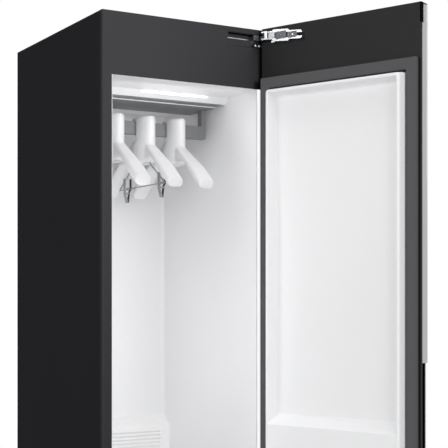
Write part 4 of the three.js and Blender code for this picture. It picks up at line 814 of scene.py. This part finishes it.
def makeFloor():
    bpy.ops.object.select_all(action="DESELECT")
    bpy.ops.mesh.primitive_plane_add(size=2 * stageSet["floorHalf"],
                                     location=(0, 0, cadLow.z - stageSet["floorDrop"]))
    floor = bpy.context.object
    floor.name = "floor"
    material = bpy.data.materials.new("floorWhite")
    material.use_nodes = True
    floor.data.materials.append(material)
    tree = material.node_tree
    shader = tree.nodes["Principled BSDF"]
    setInputs(shader, {"Base Color": linearColour(stageSet["floorColour"]),
                       "Roughness": stageSet["floorRoughness"]})
    place = addNode(tree, "ShaderNodeTexCoord", (-900, -300))
    reach = addNode(tree, "ShaderNodeVectorMath", (-700, -300), operation="LENGTH")
    fade = addNode(tree, "ShaderNodeMapRange", (-500, -300),
                   {"From Min": stageSet["fadeStart"], "From Max": stageSet["fadeEnd"]},
                   interpolation_type="SMOOTHSTEP")
    shares = [seenShare(tree, -900, 200), fade.outputs["Result"]]
    glow = addNode(tree, "ShaderNodeEmission", (0, -200), {"Color": white, "Strength": 1.0})
    mix = addNode(tree, "ShaderNodeMixShader", (400, 0))
    link = tree.links.new
    link(place.outputs["Object"], reach.inputs[0])
    link(reach.outputs["Value"], fade.inputs["Value"])
    link(joinValues(tree, "MULTIPLY", shares, -200, 0), mix.inputs["Fac"])
    link(shader.outputs["BSDF"], mix.inputs[1])
    link(glow.outputs["Emission"], mix.inputs[2])
    link(mix.outputs["Shader"], tree.nodes["Material Output"].inputs["Surface"])


def makeSurroundings():
    world = bpy.data.worlds.new("studio")
    bpy.context.scene.world = world
    world.use_nodes = True
    tree = world.node_tree
    sky = tree.nodes["Background"]
    setInputs(sky, {"Color": white, "Strength": stageSet["skyStrength"]})
    seenWhite = addNode(tree, "ShaderNodeBackground", (0, -200), {"Color": white, "Strength": 1.0})
    mix = addNode(tree, "ShaderNodeMixShader", (250, 0))
    link = tree.links.new
    link(seenShare(tree, -500, 300), mix.inputs["Fac"])
    link(sky.outputs["Background"], mix.inputs[1])
    link(seenWhite.outputs["Background"], mix.inputs[2])
    link(mix.outputs["Shader"], tree.nodes["World Output"].inputs["Surface"])


makeFloor()
makeSurroundings()

# Soft studio lamps; strip, inside and upper are small ones for the light of the cavity's own lamp
lamps = {
    "key": {"place": (1.2, -4.2, 2.6), "target": (0, 0, 1.2),
            "size": (1.6, 1.6), "watts": 36.0},
    "front": {"place": (-0.8, -4.8, 1.5), "target": (0, 0, 1.2),
              "size": (1.6, 1.6), "watts": 35.0},
    "side": {"place": (-4.2, -0.6, 2.4), "target": (0.2, -0.3, 1.2),
             "size": (2.0, 2.0), "watts": 57.0},
    "over": {"place": (-0.3, -1.2, 4.6), "target": (0.0, -0.3, 1.2),
             "size": (2.0, 2.0), "watts": 39.0},
    "strip": {"place": (0.041, -0.137, 1.691), "target": (0.041, -0.713, 0.874),
              "size": (0.18, 0.01), "watts": 0.018},
    "inside": {"place": (-0.178, -0.243, 1.13), "target": (0.03, 0.2, 1.15),
               "size": (0.05, 0.58), "watts": 0.74},
    "upper": {"place": (-0.02, -0.262, 1.66), "target": (0.03, 0.1, 1.45),
              "size": (0.3, 0.02), "watts": 0.12},
}


def addLamp(name, row):
    data = bpy.data.lights.new(name, "AREA")
    data.shape = "RECTANGLE"
    data.size, data.size_y = row["size"]
    data.energy = row["watts"]
    lamp = bpy.data.objects.new(name, data)
    lamp.location = row["place"]
    lamp.visible_camera = False
    aim = Vector(row["target"]) - Vector(row["place"])
    lamp.rotation_euler = aim.to_track_quat("-Z", "Y").to_euler()
    bpy.context.scene.collection.objects.link(lamp)


for name, row in lamps.items():
    addLamp(name + "Lamp", row)
print("stage and lamps set")
